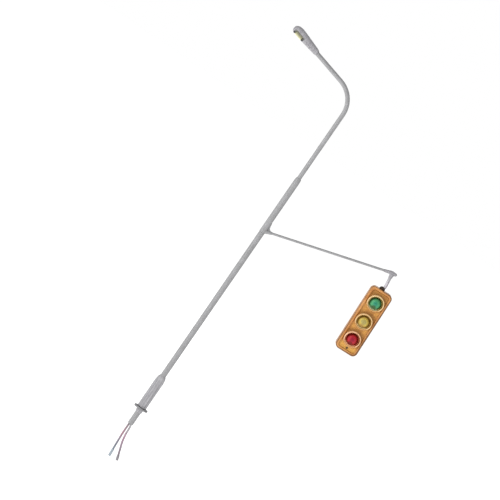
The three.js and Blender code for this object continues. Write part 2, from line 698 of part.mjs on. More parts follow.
// A round foot with a hood over its top and sides, open below, its front edge sloping back to the open ends
function visor() {
  const outline = new THREE.Shape();
  const [right, left] = [VISOR_OPEN - Math.PI / 2, 1.5 * Math.PI - VISOR_OPEN];
  outline.absarc(0, 0, VISOR_RADIUS, right, left, false);
  outline.absarc(0, 0, VISOR_BORE, left, right, true);
  const hood = solid(slab(outline, PANEL_FRONT + FACE_GAP, VISOR_FRONT, LENS_SIDES / 4));
  const drop = VISOR_RADIUS * (1 + Math.cos(VISOR_OPEN));
  const slope = Math.atan2(VISOR_FRONT - VISOR_END_FRONT, drop);
  const blade = box(REACH, REACH, REACH, 0, -REACH / 2, REACH / 2)
    .rotateX(slope).translate(0, VISOR_RADIUS, VISOR_FRONT);
  const foot = solid(ring([
    [VISOR_RADIUS, PANEL_FRONT + FACE_GAP],
    [VISOR_RADIUS, VISOR_FOOT_FRONT],
    [VISOR_BORE, VISOR_FOOT_FRONT],
    [VISOR_BORE, PANEL_FRONT + FACE_GAP],
  ], LENS_SIDES));
  return geometryOf(join(cut(hood, solid(blade)), foot));
}

function screw() {
  return turned([
    [0, SHELL_BACK + 0.1],
    [SCREW_RADIUS, SHELL_BACK + 0.1],
    [SCREW_RADIUS, PANEL_FRONT + FACE_GAP],
    [SCREW_HEAD_RADIUS, PANEL_FRONT + FACE_GAP],
    [SCREW_HEAD_RADIUS, PANEL_FRONT + SCREW_HEAD_THICK],
    [0, PANEL_FRONT + SCREW_HEAD_THICK + 0.08],
  ], SMALL_SIDES);
}

const signal = new THREE.Group();
signal.position.set(PIN_X, 0, PIN_HEIGHT);
signal.rotation.y = -SIGNAL_LEAN;
piece(signal, 'hanger_knuckle', knuckle(), 'blackMoulding');
piece(signal, 'knuckle_pin', knucklePin(), 'darkMetal');
const front = new THREE.Group();
front.position.z = SIGNAL_MIDDLE - PIN_HEIGHT;
front.rotation.x = Math.PI / 2;
piece(front, 'signal_housing', housing(), 'orangeMoulding');
piece(front, 'signal_back_cover', backCover(), 'orangeMoulding');
for (const { name, height, colour } of LIGHTS) {
  const light = new THREE.Group();
  light.position.y = MIDDLE_LIGHT + height;
  piece(light, `visor_${name}`, visor(), 'creamMoulding');
  piece(light, `bezel_${name}`, bezel(), 'blackMoulding');
  piece(light, `lens_${name}`, lens(), colour);
  const chipMiddle = BOARD.front + FACE_GAP + CHIP.thick / 2;
  piece(light, `led_${name}`, box(CHIP.width, CHIP.height, CHIP.thick, 0, 0, chipMiddle), 'ledChip');
  front.add(light);
}
const boardOutline = roundedRectangle(BOARD.width, BOARD.height, BOARD.corner);
const signalBoard = slab(boardOutline, BOARD.front - BOARD.thick, BOARD.front).translate(0, BOARD.lift, 0);
piece(front, 'signal_board', signalBoard, 'circuitBoard');
piece(front, 'housing_screw', screw().translate(0, screwY, 0), 'darkMetal');
signal.add(front);

model.add(base, arm, top, lamp, hanger, signal);

export default model;
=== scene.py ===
# Model signal mast: a hollow painted mast in a fluted ferrule, a bent top tube that carries a street lamp,
# and a side arm that hangs a three-light signal. The frame is in metres; meshes are worked in millimetres and
# scaled as each piece is finished. +Z runs up the mast, +X to the signal, and the lights face -Y.
import json
import math

import bmesh
import bpy
from mathutils import Matrix, Vector


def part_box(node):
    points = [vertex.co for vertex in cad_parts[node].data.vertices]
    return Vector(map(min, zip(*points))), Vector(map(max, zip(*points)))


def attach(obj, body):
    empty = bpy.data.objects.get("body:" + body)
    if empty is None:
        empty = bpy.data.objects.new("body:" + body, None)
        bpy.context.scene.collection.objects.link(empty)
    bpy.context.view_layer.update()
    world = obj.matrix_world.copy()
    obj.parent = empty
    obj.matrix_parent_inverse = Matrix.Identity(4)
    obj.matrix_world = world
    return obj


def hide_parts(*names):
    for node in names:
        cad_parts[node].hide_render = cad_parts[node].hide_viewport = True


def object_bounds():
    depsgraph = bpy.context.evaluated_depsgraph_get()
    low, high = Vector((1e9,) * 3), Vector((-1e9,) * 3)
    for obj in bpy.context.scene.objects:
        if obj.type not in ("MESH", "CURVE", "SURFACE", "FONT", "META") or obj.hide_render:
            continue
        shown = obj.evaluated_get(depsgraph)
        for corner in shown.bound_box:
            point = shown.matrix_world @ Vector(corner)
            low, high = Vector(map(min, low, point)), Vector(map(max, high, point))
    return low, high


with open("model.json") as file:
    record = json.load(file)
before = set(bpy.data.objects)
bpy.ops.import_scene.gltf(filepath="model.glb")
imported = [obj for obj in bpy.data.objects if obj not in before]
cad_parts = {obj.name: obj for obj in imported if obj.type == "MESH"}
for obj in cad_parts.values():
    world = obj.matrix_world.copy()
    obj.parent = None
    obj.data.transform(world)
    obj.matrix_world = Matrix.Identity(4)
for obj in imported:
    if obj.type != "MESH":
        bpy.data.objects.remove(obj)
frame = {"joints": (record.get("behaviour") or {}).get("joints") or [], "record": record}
cad_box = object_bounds()

# --- Camera, light and floor ------------------------------------------------------------------------------
# A long lens looks almost square on to the plane of the two arms, from slightly above, and is rolled so that
# the mast leans to the right. White light surrounds it, with a key lamp on the street lamp's side, a weaker
# one on the signal's side and one behind.
METRES = 0.001
VIEW_CENTRE = Vector((0.05, 0, 48.6)) * METRES
VIEW_SIZE = 125 * METRES
CAMERA_DISTANCE = 1200 * METRES
CAMERA_RISE = math.radians(5)
CAMERA_TURN = math.radians(-4)
CAMERA_ROLL = math.radians(34.54)
TENT_LIGHT = 0.42

toward_camera = Vector((
    math.sin(CAMERA_TURN) * math.cos(CAMERA_RISE), -math.cos(CAMERA_TURN) * math.cos(CAMERA_RISE),
    math.sin(CAMERA_RISE)))
camera_data = bpy.data.cameras.new("camera")
camera_data.lens = camera_data.sensor_width * CAMERA_DISTANCE / VIEW_SIZE
camera_data.clip_start = 0.01
camera_data.clip_end = 20
camera = bpy.data.objects.new("camera", camera_data)
bpy.context.scene.collection.objects.link(camera)
camera.location = VIEW_CENTRE + toward_camera * CAMERA_DISTANCE
camera.rotation_mode = "QUATERNION"
level = (-toward_camera).to_track_quat("-Z", "Y")
camera.rotation_quaternion = level @ Matrix.Rotation(CAMERA_ROLL, 3, "Z").to_quaternion()
bpy.context.scene.camera = camera


def soft_lamp(name, place, size, power):
    """A square area lamp that looks at the middle of the view."""
    light = bpy.data.lights.new(name, "AREA")
    light.size = size
    light.energy = power
    lamp_object = bpy.data.objects.new(name, light)
    lamp_object.location = VIEW_CENTRE + Vector(place)
    lamp_object.rotation_euler = (-Vector(place)).to_track_quat("-Z", "Y").to_euler()
    bpy.context.scene.collection.objects.link(lamp_object)


soft_lamp("key_lamp", (-0.34, -0.3, 0.12), 0.2, 0.9)
soft_lamp("fill_lamp", (0.35, -0.35, 0.05), 0.3, 0.3)
soft_lamp("back_lamp", (0.1, 0.4, 0.25), 0.3, 0.5)

world = bpy.data.worlds.new("white_tent")
world.use_nodes = True
tent = world.node_tree
seen = tent.nodes.new("ShaderNodeLightPath").outputs["Is Camera Ray"]
strength = tent.nodes.new("ShaderNodeMapRange")
strength.inputs["To Min"].default_value = TENT_LIGHT
tent.links.new(seen, strength.inputs["Value"])
tent.links.new(strength.outputs["Result"], tent.nodes["Background"].inputs["Strength"])
tent.nodes["Background"].inputs["Color"].default_value = (1, 1, 1, 1)
bpy.context.scene.world = world
bpy.context.scene.view_settings.view_transform = "Standard"

FLOOR_SIZE = 3
FLOOR_DROP = 0.0005
FLOOR_GLOW = 0.68
floor_mesh = bpy.data.meshes.new("floor")
floor_level = cad_box[0].z - FLOOR_DROP
corner = FLOOR_SIZE / 2
floor_mesh.from_pydata(
    [(-corner, -corner, floor_level), (corner, -corner, floor_level),
     (corner, corner, floor_level), (-corner, corner, floor_level)], [], [(0, 1, 2, 3)])
floor = bpy.data.objects.new("floor", floor_mesh)
bpy.context.scene.collection.objects.link(floor)
floor_paint = bpy.data.materials.new("pale_floor")
floor_paint.use_nodes = True
floor_shader = floor_paint.node_tree.nodes["Principled BSDF"]
floor_shader.inputs["Base Color"].default_value = (0.9, 0.9, 0.9, 1)
floor_shader.inputs["Roughness"].default_value = 1
floor_shader.inputs["Specular IOR Level"].default_value = 0
floor_shader.inputs["Emission Color"].default_value = (1, 1, 1, 1)
floor_shader.inputs["Emission Strength"].default_value = FLOOR_GLOW
floor_mesh.materials.append(floor_paint)

# --- Mast tube --------------------------------------------------------------------------------------------
# The lower mast is thin-walled metal tube, sprayed light grey. Its open tail goes down through the board, and
# a thinner tenon at its top takes the tee sleeve.


def span(node):
    """The lowest and highest corners of a CAD node, in millimetres."""
    low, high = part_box(node)
    return low / METRES, high / METRES


def soften(outline, radius, closed=False, steps=4):
    """Rounds the corners of an outline: each becomes a short curve between its two sides."""
    points = [Vector(point) for point in outline]
    count = len(points)
    softened = []
    for i, point in enumerate(points):
        if not closed and i in (0, count - 1):
            softened.append(point)
            continue
        before = points[i - 1] - point
        after = points[(i + 1) % count] - point
        reach = min(radius, 0.45 * before.length, 0.45 * after.length)
        start = point + before.normalized() * reach
        end = point + after.normalized() * reach
        for step in range(steps + 1):
            t = step / steps
            softened.append(start * (1 - t) ** 2 + point * 2 * t * (1 - t) + end * t ** 2)
    return softened


def turned(outline, sides=64, closed=False):
    """A lathe shape about Z, from (radius, height) points."""
    mesh = bmesh.new()
    rows = []
    for radius, height in outline:
        count = sides if radius > 1e-6 else 1
        turns = [2 * math.pi * i / sides for i in range(count)]
        rows.append([mesh.verts.new((radius * math.cos(a), radius * math.sin(a), height)) for a in turns])
    pairs = list(zip(rows, rows[1:]))
    if closed:
        pairs.append((rows[-1], rows[0]))
    for lower, upper in pairs:
        for i in range(sides):
            j = (i + 1) % sides
            near, far = i % len(lower), j % len(lower)
            ends = [lower[near], lower[far], upper[j % len(upper)], upper[i % len(upper)]]
            corners = list(dict.fromkeys(ends))
            if len(corners) > 2:
                mesh.faces.new(corners)
    bmesh.ops.recalc_face_normals(mesh, faces=mesh.faces)
    return mesh


def made(name, mesh):
    """A bmesh as an object, still in millimetres."""
    data = bpy.data.meshes.new(name)
    mesh.to_mesh(data)
    mesh.free()
    shape = bpy.data.objects.new(name, data)
    bpy.context.scene.collection.objects.link(shape)
    return shape


def apply_modifiers(shape):
    """Turns an object with modifiers into a plain mesh."""
    graph = bpy.context.evaluated_depsgraph_get()
    plain = bpy.data.meshes.new_from_object(shape.evaluated_get(graph))
    shape.modifiers.clear()
    if shape.type == "MESH":
        shape.data = plain
        return shape
    swept = bpy.data.objects.new(shape.name + "_mesh", plain)
    bpy.context.scene.collection.objects.link(swept)
    bpy.data.objects.remove(shape)
    return swept


def fit(shape, node, finish, place=None, crease=35):
    """Finishes a piece: metres, smooth shading, material, body, and the CAD node that it stands for."""
    shape = apply_modifiers(shape)
    name = node + "_piece"
    shape.name = name
    shape.data.name = name
    shape.data.transform(Matrix.Scale(METRES, 4) @ (place or Matrix()))
    for polygon in shape.data.polygons:
        polygon.use_smooth = True
    shape.data.set_sharp_from_angle(angle=math.radians(crease))
    shape.data.materials.clear()
    shape.data.materials.append(finish)
    body = next(body for body, names in frame["record"]["behaviour"]["bodies"].items() if node in names)
    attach(shape, body)
    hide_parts(node)


def tone(code):
    """A colour written as six hex digits, in linear light."""
    parts = [int(code[i:i + 2], 16) / 255 for i in (0, 2, 4)]
    linear = [part / 12.92 if part <= 0.04045 else ((part + 0.055) / 1.055) ** 2.4 for part in parts]
    return (*linear, 1)


class Flow:
    """One output of a node. Sums on it add Math nodes, and node() adds a node of any other kind."""

    def __init__(self, tree, output=None):
        self.tree = tree
        self.output = output

    def node(self, kind, inputs=None, output=0, stops=None, **settings):
        """Adds a node: settings first, then the values or links of its inputs, by name or number."""
        added = self.tree.nodes.new(kind)
        for name, value in settings.items():
            setattr(added, name, value)
        for i, (place, colour) in enumerate(stops or []):
            element = added.color_ramp.elements[i] if i < 2 else added.color_ramp.elements.new(place)
            element.position = place
            element.color = colour
        for name, value in (inputs or {}).items():
            if isinstance(value, Flow):
                self.tree.links.new(value.output, added.inputs[name])
            else:
                added.inputs[name].default_value = value
        return Flow(self.tree, added.outputs[output])

    def sum(self, operation, *others):
        """A Math node of this value and the others."""
        return self.node("ShaderNodeMath", dict(enumerate((self, *others))), operation=operation)

    def __add__(self, other):
        return self.sum("ADD", other)

    def __sub__(self, other):
        return self.sum("SUBTRACT", other)

    def __rsub__(self, other):
        return (self * -1) + other

    def __mul__(self, other):
        return self.sum("MULTIPLY", other)

    def __truediv__(self, other):
        return self.sum("DIVIDE", other)

    def __pow__(self, other):
        return self.sum("POWER", other)

    __radd__ = __add__
    __rmul__ = __mul__

    def ramp(self, low, high):
        """0 below low and 1 above high, smooth between; low may be the larger."""
        inputs = {"Value": self, "From Min": low, "From Max": high}
        return self.node("ShaderNodeMapRange", inputs, interpolation_type="SMOOTHSTEP")

    def mix(self, first, second):
        """The first colour where this mask is 0, and the second where it is 1."""
        return self.node("ShaderNodeMix", {0: self, 6: first, 7: second}, output=2, data_type="RGBA")

    def axes(self):
        """The X, Y and Z of a vector."""
        parts = self.node("ShaderNodeSeparateXYZ", {0: self})
        return [Flow(self.tree, output) for output in parts.output.node.outputs]

    def stretched(self, x, y, z):
        """A vector with each part multiplied."""
        return self.node("ShaderNodeVectorMath", {0: self, 1: (x, y, z)}, operation="MULTIPLY")

    def scaled(self, factor):
        """A vector times a number that may change over the piece."""
        return self.node("ShaderNodeVectorMath", {0: self, "Scale": factor}, operation="SCALE")

    def noise(self, scale, detail=3, roughness=0.55):
        """Noise from 0 to 1 over this place, with about scale features to a millimetre."""
        inputs = {"Vector": self, "Scale": scale, "Detail": detail, "Roughness": roughness}
        return self.node("ShaderNodeTexNoise", inputs)


class Finish:
    """A material: its place in millimetres, its shader's sockets, and a bump."""

    def __init__(self, name, **constants):
        self.material = bpy.data.materials.new(name)
        self.material.use_nodes = True
        self.tree = self.material.node_tree
        self.shader = self.tree.nodes["Principled BSDF"]
        for label, value in constants.items():
            self.shader.inputs[label.replace("_", " ")].default_value = value
        place = Flow(self.tree).node("ShaderNodeTexCoord", output="Object")
        self.place = place.stretched(1 / METRES, 1 / METRES, 1 / METRES)

    def set(self, **flows):
        """Links flows to the shader's sockets, which are named with underscores."""
        for label, flow in flows.items():
            self.tree.links.new(flow.output, self.shader.inputs[label.replace("_", " ")])

    def bump(self, height, depth):
        """Raises the surface by height, where 1 is depth millimetres."""
        inputs = {"Height": height, "Distance": depth * METRES, "Strength": 1.0}
        self.set(Normal=height.node("ShaderNodeBump", inputs))


def sprayed_grey(name, light, dark, worn):
    """Satin grey spray on tube: cloudy tone, drawn streaks, faint orange-peel and thin rubbed spots."""
    finish = Finish(name)
    clouds = finish.place.noise(0.7, 3)
    streaks = finish.place.stretched(3.0, 3.0, 0.12).noise(1.6, 2)
    rubbed = finish.place.stretched(1.0, 1.0, 0.4).noise(2.0, 4, 0.6).ramp(0.66, 0.78)
    shade = (clouds * 0.6 + streaks * 0.4).ramp(0.3, 0.7)
    finish.set(
        Base_Color=(rubbed * 0.6).mix(shade.mix(dark, light), worn),
        Roughness=clouds * 0.15 + 0.42 - rubbed * 0.08,
        Metallic=rubbed * 0.3 + 0.1,
    )
    finish.bump(clouds * 0.5 + streaks * 0.5, 0.006)
    return finish.material


GREY_PAINT = sprayed_grey("grey_paint", tone("a3a3a5"), tone("959596"), tone("aeaeaf"))
EDGE = 0.05
GAP = 0.04

mast_low, mast_high = span("mast_tube")
sleeve_low, sleeve_high = span("tee_sleeve")
TUBE_BORE = 0.54
TENON_RADIUS = 0.59
TENON_BORE = 0.4
TENON_BORE_DEPTH = 0.3
TAPER_DEPTH = 0.7
mast_shoulder = sleeve_low.z - GAP
mast_outline = [
    (TUBE_BORE, mast_low.z),
    (mast_high.x, mast_low.z),
    (mast_high.x, mast_shoulder),
    (TENON_RADIUS, mast_shoulder),
    (TENON_RADIUS, mast_high.z),
    (TENON_BORE, mast_high.z),
    (TENON_BORE, mast_shoulder - TENON_BORE_DEPTH),
    (TUBE_BORE, mast_shoulder - TAPER_DEPTH),
]
mast_tube = made("mast_tube_shape", turned(soften(mast_outline, EDGE, closed=True), closed=True))
fit(mast_tube, "mast_tube", GREY_PAINT)

# --- Fluted ferrule ---------------------------------------------------------------------------------------
# A moulded grey ferrule slides over the foot of the mast. Its straight part is fluted for grip, its shoulder
# tapers up to the tube, and its neck goes down through the flange into the board.


def geometry_tree(name, **inputs):
    """A new geometry tree with named inputs, and the flow of each input by its name."""
    tree = bpy.data.node_groups.new(name, "GeometryNodeTree")
    tree.interface.new_socket("Geometry", in_out="INPUT", socket_type="NodeSocketGeometry")
    tree.interface.new_socket("Geometry", in_out="OUTPUT", socket_type="NodeSocketGeometry")
    for label, value in inputs.items():
        kind = "NodeSocketInt" if isinstance(value, int) else "NodeSocketFloat"
        given = tree.interface.new_socket(label, in_out="INPUT", socket_type=kind)
        given.default_value = value
    start = tree.nodes.new("NodeGroupInput")
    flows = {output.name: Flow(tree, output) for output in start.outputs if output.name}
    return tree, flows


def close_tree(tree, flow, material):
    """Ends a tree in Realize Instances and Set Material."""
    whole = flow.node("GeometryNodeRealizeInstances", {"Geometry": flow})
    painted = whole.node("GeometryNodeSetMaterial", {"Geometry": whole, "Material": material})
    tree.links.new(painted.output, tree.nodes.new("NodeGroupOutput").inputs["Geometry"])


def run_tree(shape, tree, **values):
    """Puts a geometry tree on an object, with its named inputs set by their identifiers."""
    modifier = shape.modifiers.new(tree.name, "NODES")
    modifier.node_group = tree
    sockets = {item.name: item.identifier for item in tree.interface.items_tree if item.in_out == "INPUT"}
    for label, value in values.items():
        modifier[sockets[label]] = value
    return apply_modifiers(shape)


def moulded_grey(name, light, dark, grooves=0):
    """Matt grey moulding with a touch of lavender: soft flow marks and faint grime."""
    finish = Finish(name)
    flow_marks = finish.place.stretched(2.0, 2.0, 0.2).noise(1.5, 3)
    grime = finish.place.noise(0.9, 4, 0.6).ramp(0.45, 0.75)
    colour = (grime * 0.7).mix(flow_marks.ramp(0.35, 0.65).mix(dark, light), dark)
    if grooves:
        x, y, z = finish.place.axes()
        turn = (y.sum("ARCTAN2", x) * grooves).sum("COSINE")
        # Painted shade in the flutes: darker towards each hollow, fading out up the shoulder.
        colour = ((0.5 - turn * 0.5) * z.ramp(9.2, 8.4) * 0.45).mix(colour, tone("84838a"))
    finish.set(Base_Color=colour, Roughness=flow_marks * 0.2 + 0.42 + grime * 0.1)
    finish.bump(flow_marks, 0.008)
    return finish.material


FLUTES = 10
FERRULE_GREY = moulded_grey("ferrule_grey", tone("b3b2b5"), tone("a1a0a3"), FLUTES)
FLUTE_DEPTH = 0.1
CLEARANCE = 0.02

ferrule_low, ferrule_high = span("base_ferrule")
flange_low, flange_high = span("board_flange")
seat = flange_high.z + GAP
ferrule_radius = ferrule_high.x
ferrule_bore = mast_high.x + CLEARANCE
neck_radius = 0.97
shoulder_start = 8.35
flutes_end = 9.0
fluted_rows = 16
ferrule_outline = soften([
    (ferrule_bore, ferrule_low.z),
    (ferrule_bore + 0.07, ferrule_low.z),
    (neck_radius - 0.05, ferrule_low.z / 3),
    (neck_radius, 0),
    (neck_radius, seat),
    (ferrule_radius, seat),
    *[(ferrule_radius, seat + (shoulder_start - seat) * i / fluted_rows) for i in range(1, fluted_rows + 1)],
    (1.18, 8.72), (1.13, 9.13), (1.07, 9.49), (0.96, 9.79), (0.83, 10.05),
    (ferrule_bore, ferrule_high.z),
], 0.07, closed=True)
ferrule = made("ferrule_shape", turned(ferrule_outline, 96, closed=True))

flute_tree, flute = geometry_tree("ferrule_flutes", Flutes=8, Depth=0.05, Bottom=0.0, Top=1.0)
place = flute["Geometry"].node("GeometryNodeInputPosition")
x, y, z = place.axes()
angle = y.sum("ARCTAN2", x) * flute["Flutes"]
hollow = (1 - angle.sum("COSINE")) * 0.5
bottom_mask = (z - flute["Bottom"] - 0.12).ramp(0, 0.25)
top_mask = (flute["Top"] - z - 0.05).ramp(0, 0.5)
outer_mask = (x * x + y * y).ramp(0.95, 1.1)
inward = hollow ** 1.6 * flute["Depth"] * bottom_mask * top_mask * outer_mask * -1
level_place = place.stretched(1, 1, 0)
radial = level_place.node("ShaderNodeVectorMath", {0: level_place}, operation="NORMALIZE")
hollowed = {"Geometry": flute["Geometry"], "Offset": radial.scaled(inward)}
moved = place.node("GeometryNodeSetPosition", hollowed)
close_tree(flute_tree, moved, FERRULE_GREY)
ferrule = run_tree(
    ferrule, flute_tree, Flutes=FLUTES, Depth=FLUTE_DEPTH, Bottom=seat, Top=flutes_end)
fit(ferrule, "base_ferrule", FERRULE_GREY, crease=50)

# --- Board flange -----------------------------------------------------------------------------------------
# A thin dark washer sits under the ferrule, slightly dished, and stands the mast on the board. Its edge is
# worn where it has been handled.
flange_paint = Finish("dark_flange")
x, y = flange_paint.place.axes()[:2]
from_axis = (x * x + y * y).sum("SQRT")
scuffs = flange_paint.place.noise(2.0, 3)
worn_edge = (from_axis + scuffs * 0.25).ramp(1.6, 2.04)
flange_paint.set(
    Base_Color=worn_edge.mix(scuffs.ramp(0.3, 0.7).mix(tone("3f3f42"), tone("5b5b5e")), tone("8e8e90")),
    Roughness=scuffs * 0.3 + 0.38,
    Metallic=worn_edge * 0.5 + 0.2,
)
flange_paint.bump(scuffs, 0.015)

flange_bore = 1.0
dish = 0.1
flange_outline = soften([
    (flange_bore, flange_low.z),
    (flange_high.x - dish, flange_low.z),
    (flange_high.x, flange_low.z + dish),
    (flange_high.x, flange_high.z - dish),
    (flange_high.x - dish, flange_high.z),
    (1.35, flange_high.z - 0.05),
    (1.2, flange_high.z),
    (flange_bore, flange_high.z),
], 0.06, closed=True)
flange = made("flange_shape", turned(flange_outline, 96, closed=True))
fit(flange, "board_flange", flange_paint.material)

# --- Feed wires and potting -------------------------------------------------------------------------------
# A twisted pair of enamelled copper runs up inside the mast, out along the arm, and round the top tube to the
# lamp. A plug of dark potting seals the tail where the two leads come out.


def swept_tree(name, caps):
    """A round section along a curve, with the way along it stored for the material."""
    tree, given = geometry_tree(name, Radius=0.2, Sides=16)
    factor = given["Geometry"].node("GeometryNodeSplineParameter", output="Factor")
    named = {"Geometry": given["Geometry"], "Name": "along", "Value": factor}
    line = factor.node("GeometryNodeStoreNamedAttribute", named, data_type="FLOAT", domain="POINT")
    section = {"Resolution": given["Sides"], "Radius": given["Radius"]}
    ring = factor.node("GeometryNodeCurvePrimitiveCircle", section)
    sides = {"Curve": line, "Profile Curve": ring, "Fill Caps": caps}
    return tree, factor.node("GeometryNodeCurveToMesh", sides)


def line_object(name, points):
    """A poly curve through points in millimetres."""
    data = bpy.data.curves.new(name, "CURVE")
    data.dimensions = "3D"
    spline = data.splines.new("POLY")
    spline.points.add(len(points) - 1)
    for made_point, point in zip(spline.points, points):
        made_point.co = (*point, 1)
    line = bpy.data.objects.new(name, data)
    bpy.context.scene.collection.objects.link(line)
    return line


copper = Finish("feed_copper")
enamel = copper.place.noise(6.0, 3)
copper.set(
    Base_Color=enamel.ramp(0.3, 0.7).mix(tone("8f4a26"), tone("c07a4a")),
    Roughness=enamel * 0.25 + 0.2,
    Metallic=enamel * 0.3 + 0.6,
)
copper.bump(enamel, 0.006)

twist_tree, given = geometry_tree("twisted_pair", Radius=0.11, Offset=0.12, Pitch=2.4, Sides=8)
travelled = given["Geometry"].node("GeometryNodeSplineParameter", output="Length")
normal = travelled.node("GeometryNodeInputNormal")
tangent = travelled.node("GeometryNodeInputTangent")
across = normal.node("ShaderNodeVectorMath", {0: tangent, 1: normal}, operation="CROSS_PRODUCT")
strands = travelled.node("GeometryNodeJoinGeometry")
for turn in (0, math.pi):
    angle = travelled / given["Pitch"] * (2 * math.pi) + turn
    one = normal.scaled(angle.sum("COSINE") * given["Offset"])
    other = across.scaled(angle.sum("SINE") * given["Offset"])
    aside = one.node("ShaderNodeVectorMath", {0: one, 1: other}, operation="ADD")
    strand_line = aside.node("GeometryNodeSetPosition", {"Geometry": given["Geometry"], "Offset": aside})
    section = aside.node(
        "GeometryNodeCurvePrimitiveCircle", {"Resolution": given["Sides"], "Radius": given["Radius"]})
    strand = aside.node(
        "GeometryNodeCurveToMesh", {"Curve": strand_line, "Profile Curve": section, "Fill Caps": True})
    twist_tree.links.new(strand.output, strands.output.node.inputs[0])
close_tree(twist_tree, strands, copper.material)


def feed_pair(node, points, radius):
    """One twisted pair in place of a plain rod."""
    pair = run_tree(line_object(node + "_line", points), twist_tree, Radius=radius, Offset=radius + 0.005)
    fit(pair, node, copper.material, crease=60)


def straight(start, end, step=0.25):
    """Evenly spaced points between two ends."""
    start, end = Vector(start), Vector(end)
    count = max(2, round((end - start).length / step))
    return [start.lerp(end, i / count) for i in range(count + 1)]


feed_low, feed_high = span("mast_feed_wires")
feed_pair("mast_feed_wires", straight((0, 0, feed_low.z), (0, 0, feed_high.z)), 0.12)

potting = Finish("dark_potting", Roughness=0.35)
lumps = potting.place.noise(5.0, 4)
potting.set(Base_Color=lumps.ramp(0.3, 0.7).mix(tone("16120f"), tone("352c25")))
potting.bump(lumps, 0.03)
plug_low, plug_high = span("lead_plug")
plug_outline = soften([
    (0, plug_low.z),
    (0.25, plug_low.z + 0.01),
    (plug_high.x, plug_low.z + 0.16),
    (plug_high.x, plug_high.z),
    (0, plug_high.z),
], 0.06)
fit(made("plug_shape", turned(plug_outline, 48)), "lead_plug", potting.material)

# --- Leads ------------------------------------------------------------------------------------------------
# Two short, stiff leads of enamelled wire come out of the tail. One is red-mauve with a pale blue sleeve
# shrunk on its end, the other grey-mauve with a tinned end.
LEAD_ROUTES = {
    "left": [(-0.265, -4.3), (-0.265, -6.6), (-0.22, -8.25), (-0.1, -10.3), (0.05, -12.45), (0.18, -14.24)],
    "right": [
        (0.265, -4.3), (0.27, -4.65), (0.42, -5.2), (0.5, -6.2), (0.56, -7.4), (0.94, -9.5), (1.57, -11.45),
        (2.11, -13.1), (2.43, -14.16)],
}
LEAD_RADIUS = 0.26
TIP_RADIUS = 0.35


def between(a, b, c, d, t):
    """A point or a number a share t of the way from b to c, on the smooth curve that a and d guide."""
    bend, twist = 2 * a - 5 * b + 4 * c - d, 3 * b - a - 3 * c + d
    return 0.5 * (2 * b + (c - a) * t + bend * t ** 2 + twist * t ** 3)


def smooth_route(route, per_span=10):
    """A smooth line through the points of a route in the plane of the arms."""
    points = [Vector((x, 0, z)) for x, z in route]
    padded = [2 * points[0] - points[1], *points, 2 * points[-1] - points[-2]]
    line = []
    for i in range(1, len(padded) - 2):
        for step in range(per_span):
            line.append(between(*padded[i - 1:i + 3], step / per_span))
    return [*line, points[-1]]


def split_line(line, from_end):
    """Cuts a line of points at a distance from its end."""
    left = from_end
    for i in range(len(line) - 1, 0, -1):
        step = (line[i] - line[i - 1]).length
        if step >= left:
            cut = line[i].lerp(line[i - 1], left / step)
            return [*line[:i], cut], [cut, *line[i:]]
        left -= step


def lead_finish(name, stops):
    """Thin coloured enamel whose tone changes along the wire, with small nicks."""
    finish = Finish(name, Coat_Weight=0.3)
    way = finish.place.node("ShaderNodeAttribute", output="Fac", attribute_name="along")
    blur = finish.place.noise(1.6, 3)
    nicks = finish.place.noise(3.0, 3)
    colour = way.node("ShaderNodeValToRGB", {0: way + (blur - 0.5) * 0.16}, stops=stops)
    nicked = (nicks.ramp(0.6, 0.85) * 0.3).mix(colour, tone("55505a"))
    finish.set(Base_Color=nicked, Roughness=nicks * 0.3 + 0.3)
    finish.bump(nicks, 0.012)
    return finish.material


wire_tree, wire_body = swept_tree("drawn_wire", True)
close_tree(wire_tree, wire_body, copper.material)

lead_finishes = {
    "left": lead_finish("red_lead", [
        # The first, darker stop is painted shade where the lead leaves the tail.
        (0.0, tone("686468")), (0.15, tone("918087")), (0.42, tone("a27483")), (0.6, tone("8d8290")),
        (0.85, tone("707682")), (1.0, tone("76838f"))]),
    "right": lead_finish("grey_lead", [
        (0.0, tone("a6a6a8")), (0.25, tone("a09ba1")), (0.42, tone("aa8498")), (0.7, tone("917e8d")),
        (1.0, tone("82767f"))]),
}


def tip_finish(name, light, dark, metal):
    """The fatter end of a lead: a shrunk sleeve or a coat of tin, a little uneven."""
    finish = Finish(name, Coat_Weight=0.2)
    dents = finish.place.noise(3.2, 4)
    colour = dents.ramp(0.35, 0.65).mix(dark, light)
    finish.set(Base_Color=colour, Roughness=dents * 0.35 + 0.25, Metallic=dents * metal)
    finish.bump(dents, 0.05)
    return finish.material


TIP_LENGTHS = {"left": 2.0, "right": 1.4}
tips = {
    "left": ("blue_tip", tip_finish("blue_sleeve", tone("a8b6c0"), tone("98a0a8"), 0.1)),
    "right": ("tinned_tip", tip_finish("tinned_end", tone("989498"), tone("817b82"), 0.5)),
}
for side, route in LEAD_ROUTES.items():
    tip_slot, tip_paint = tips[side]
    lead_line, tip_line = split_line(smooth_route(route), TIP_LENGTHS[side])
    lead = run_tree(line_object("lead_line_" + side, lead_line), wire_tree, Radius=LEAD_RADIUS, Sides=20)
    fit(lead, "lead_" + side, lead_finishes[side], crease=60)
    tip = run_tree(line_object("tip_line_" + side, tip_line), wire_tree, Radius=TIP_RADIUS, Sides=20)
    rounding = tip.modifiers.new("rounded_ends", "BEVEL")
    rounding.width = 0.14
    rounding.segments = 4
    rounding.angle_limit = math.radians(50)
    fit(tip, "lead_tip_" + side, tip_paint, crease=60)

# --- Tee sleeve -------------------------------------------------------------------------------------------
# A short sleeve of the same tube joins the lower mast, the top tube and the arm. Its boss flares out of the
# sleeve to hold the arm, with a thin gusset above, and the whole is painted with the mast.
ARM_RADIUS = 0.31
ARM_BORE = 0.2
ARM_START = 1.15
ARM_RISE = math.radians(16.12)
ARM_ROOT = Vector((0, 0, 54.45))
arm_place = Matrix.Translation(ARM_ROOT) @ Matrix.Rotation(math.pi / 2 - ARM_RISE, 4, "Y")


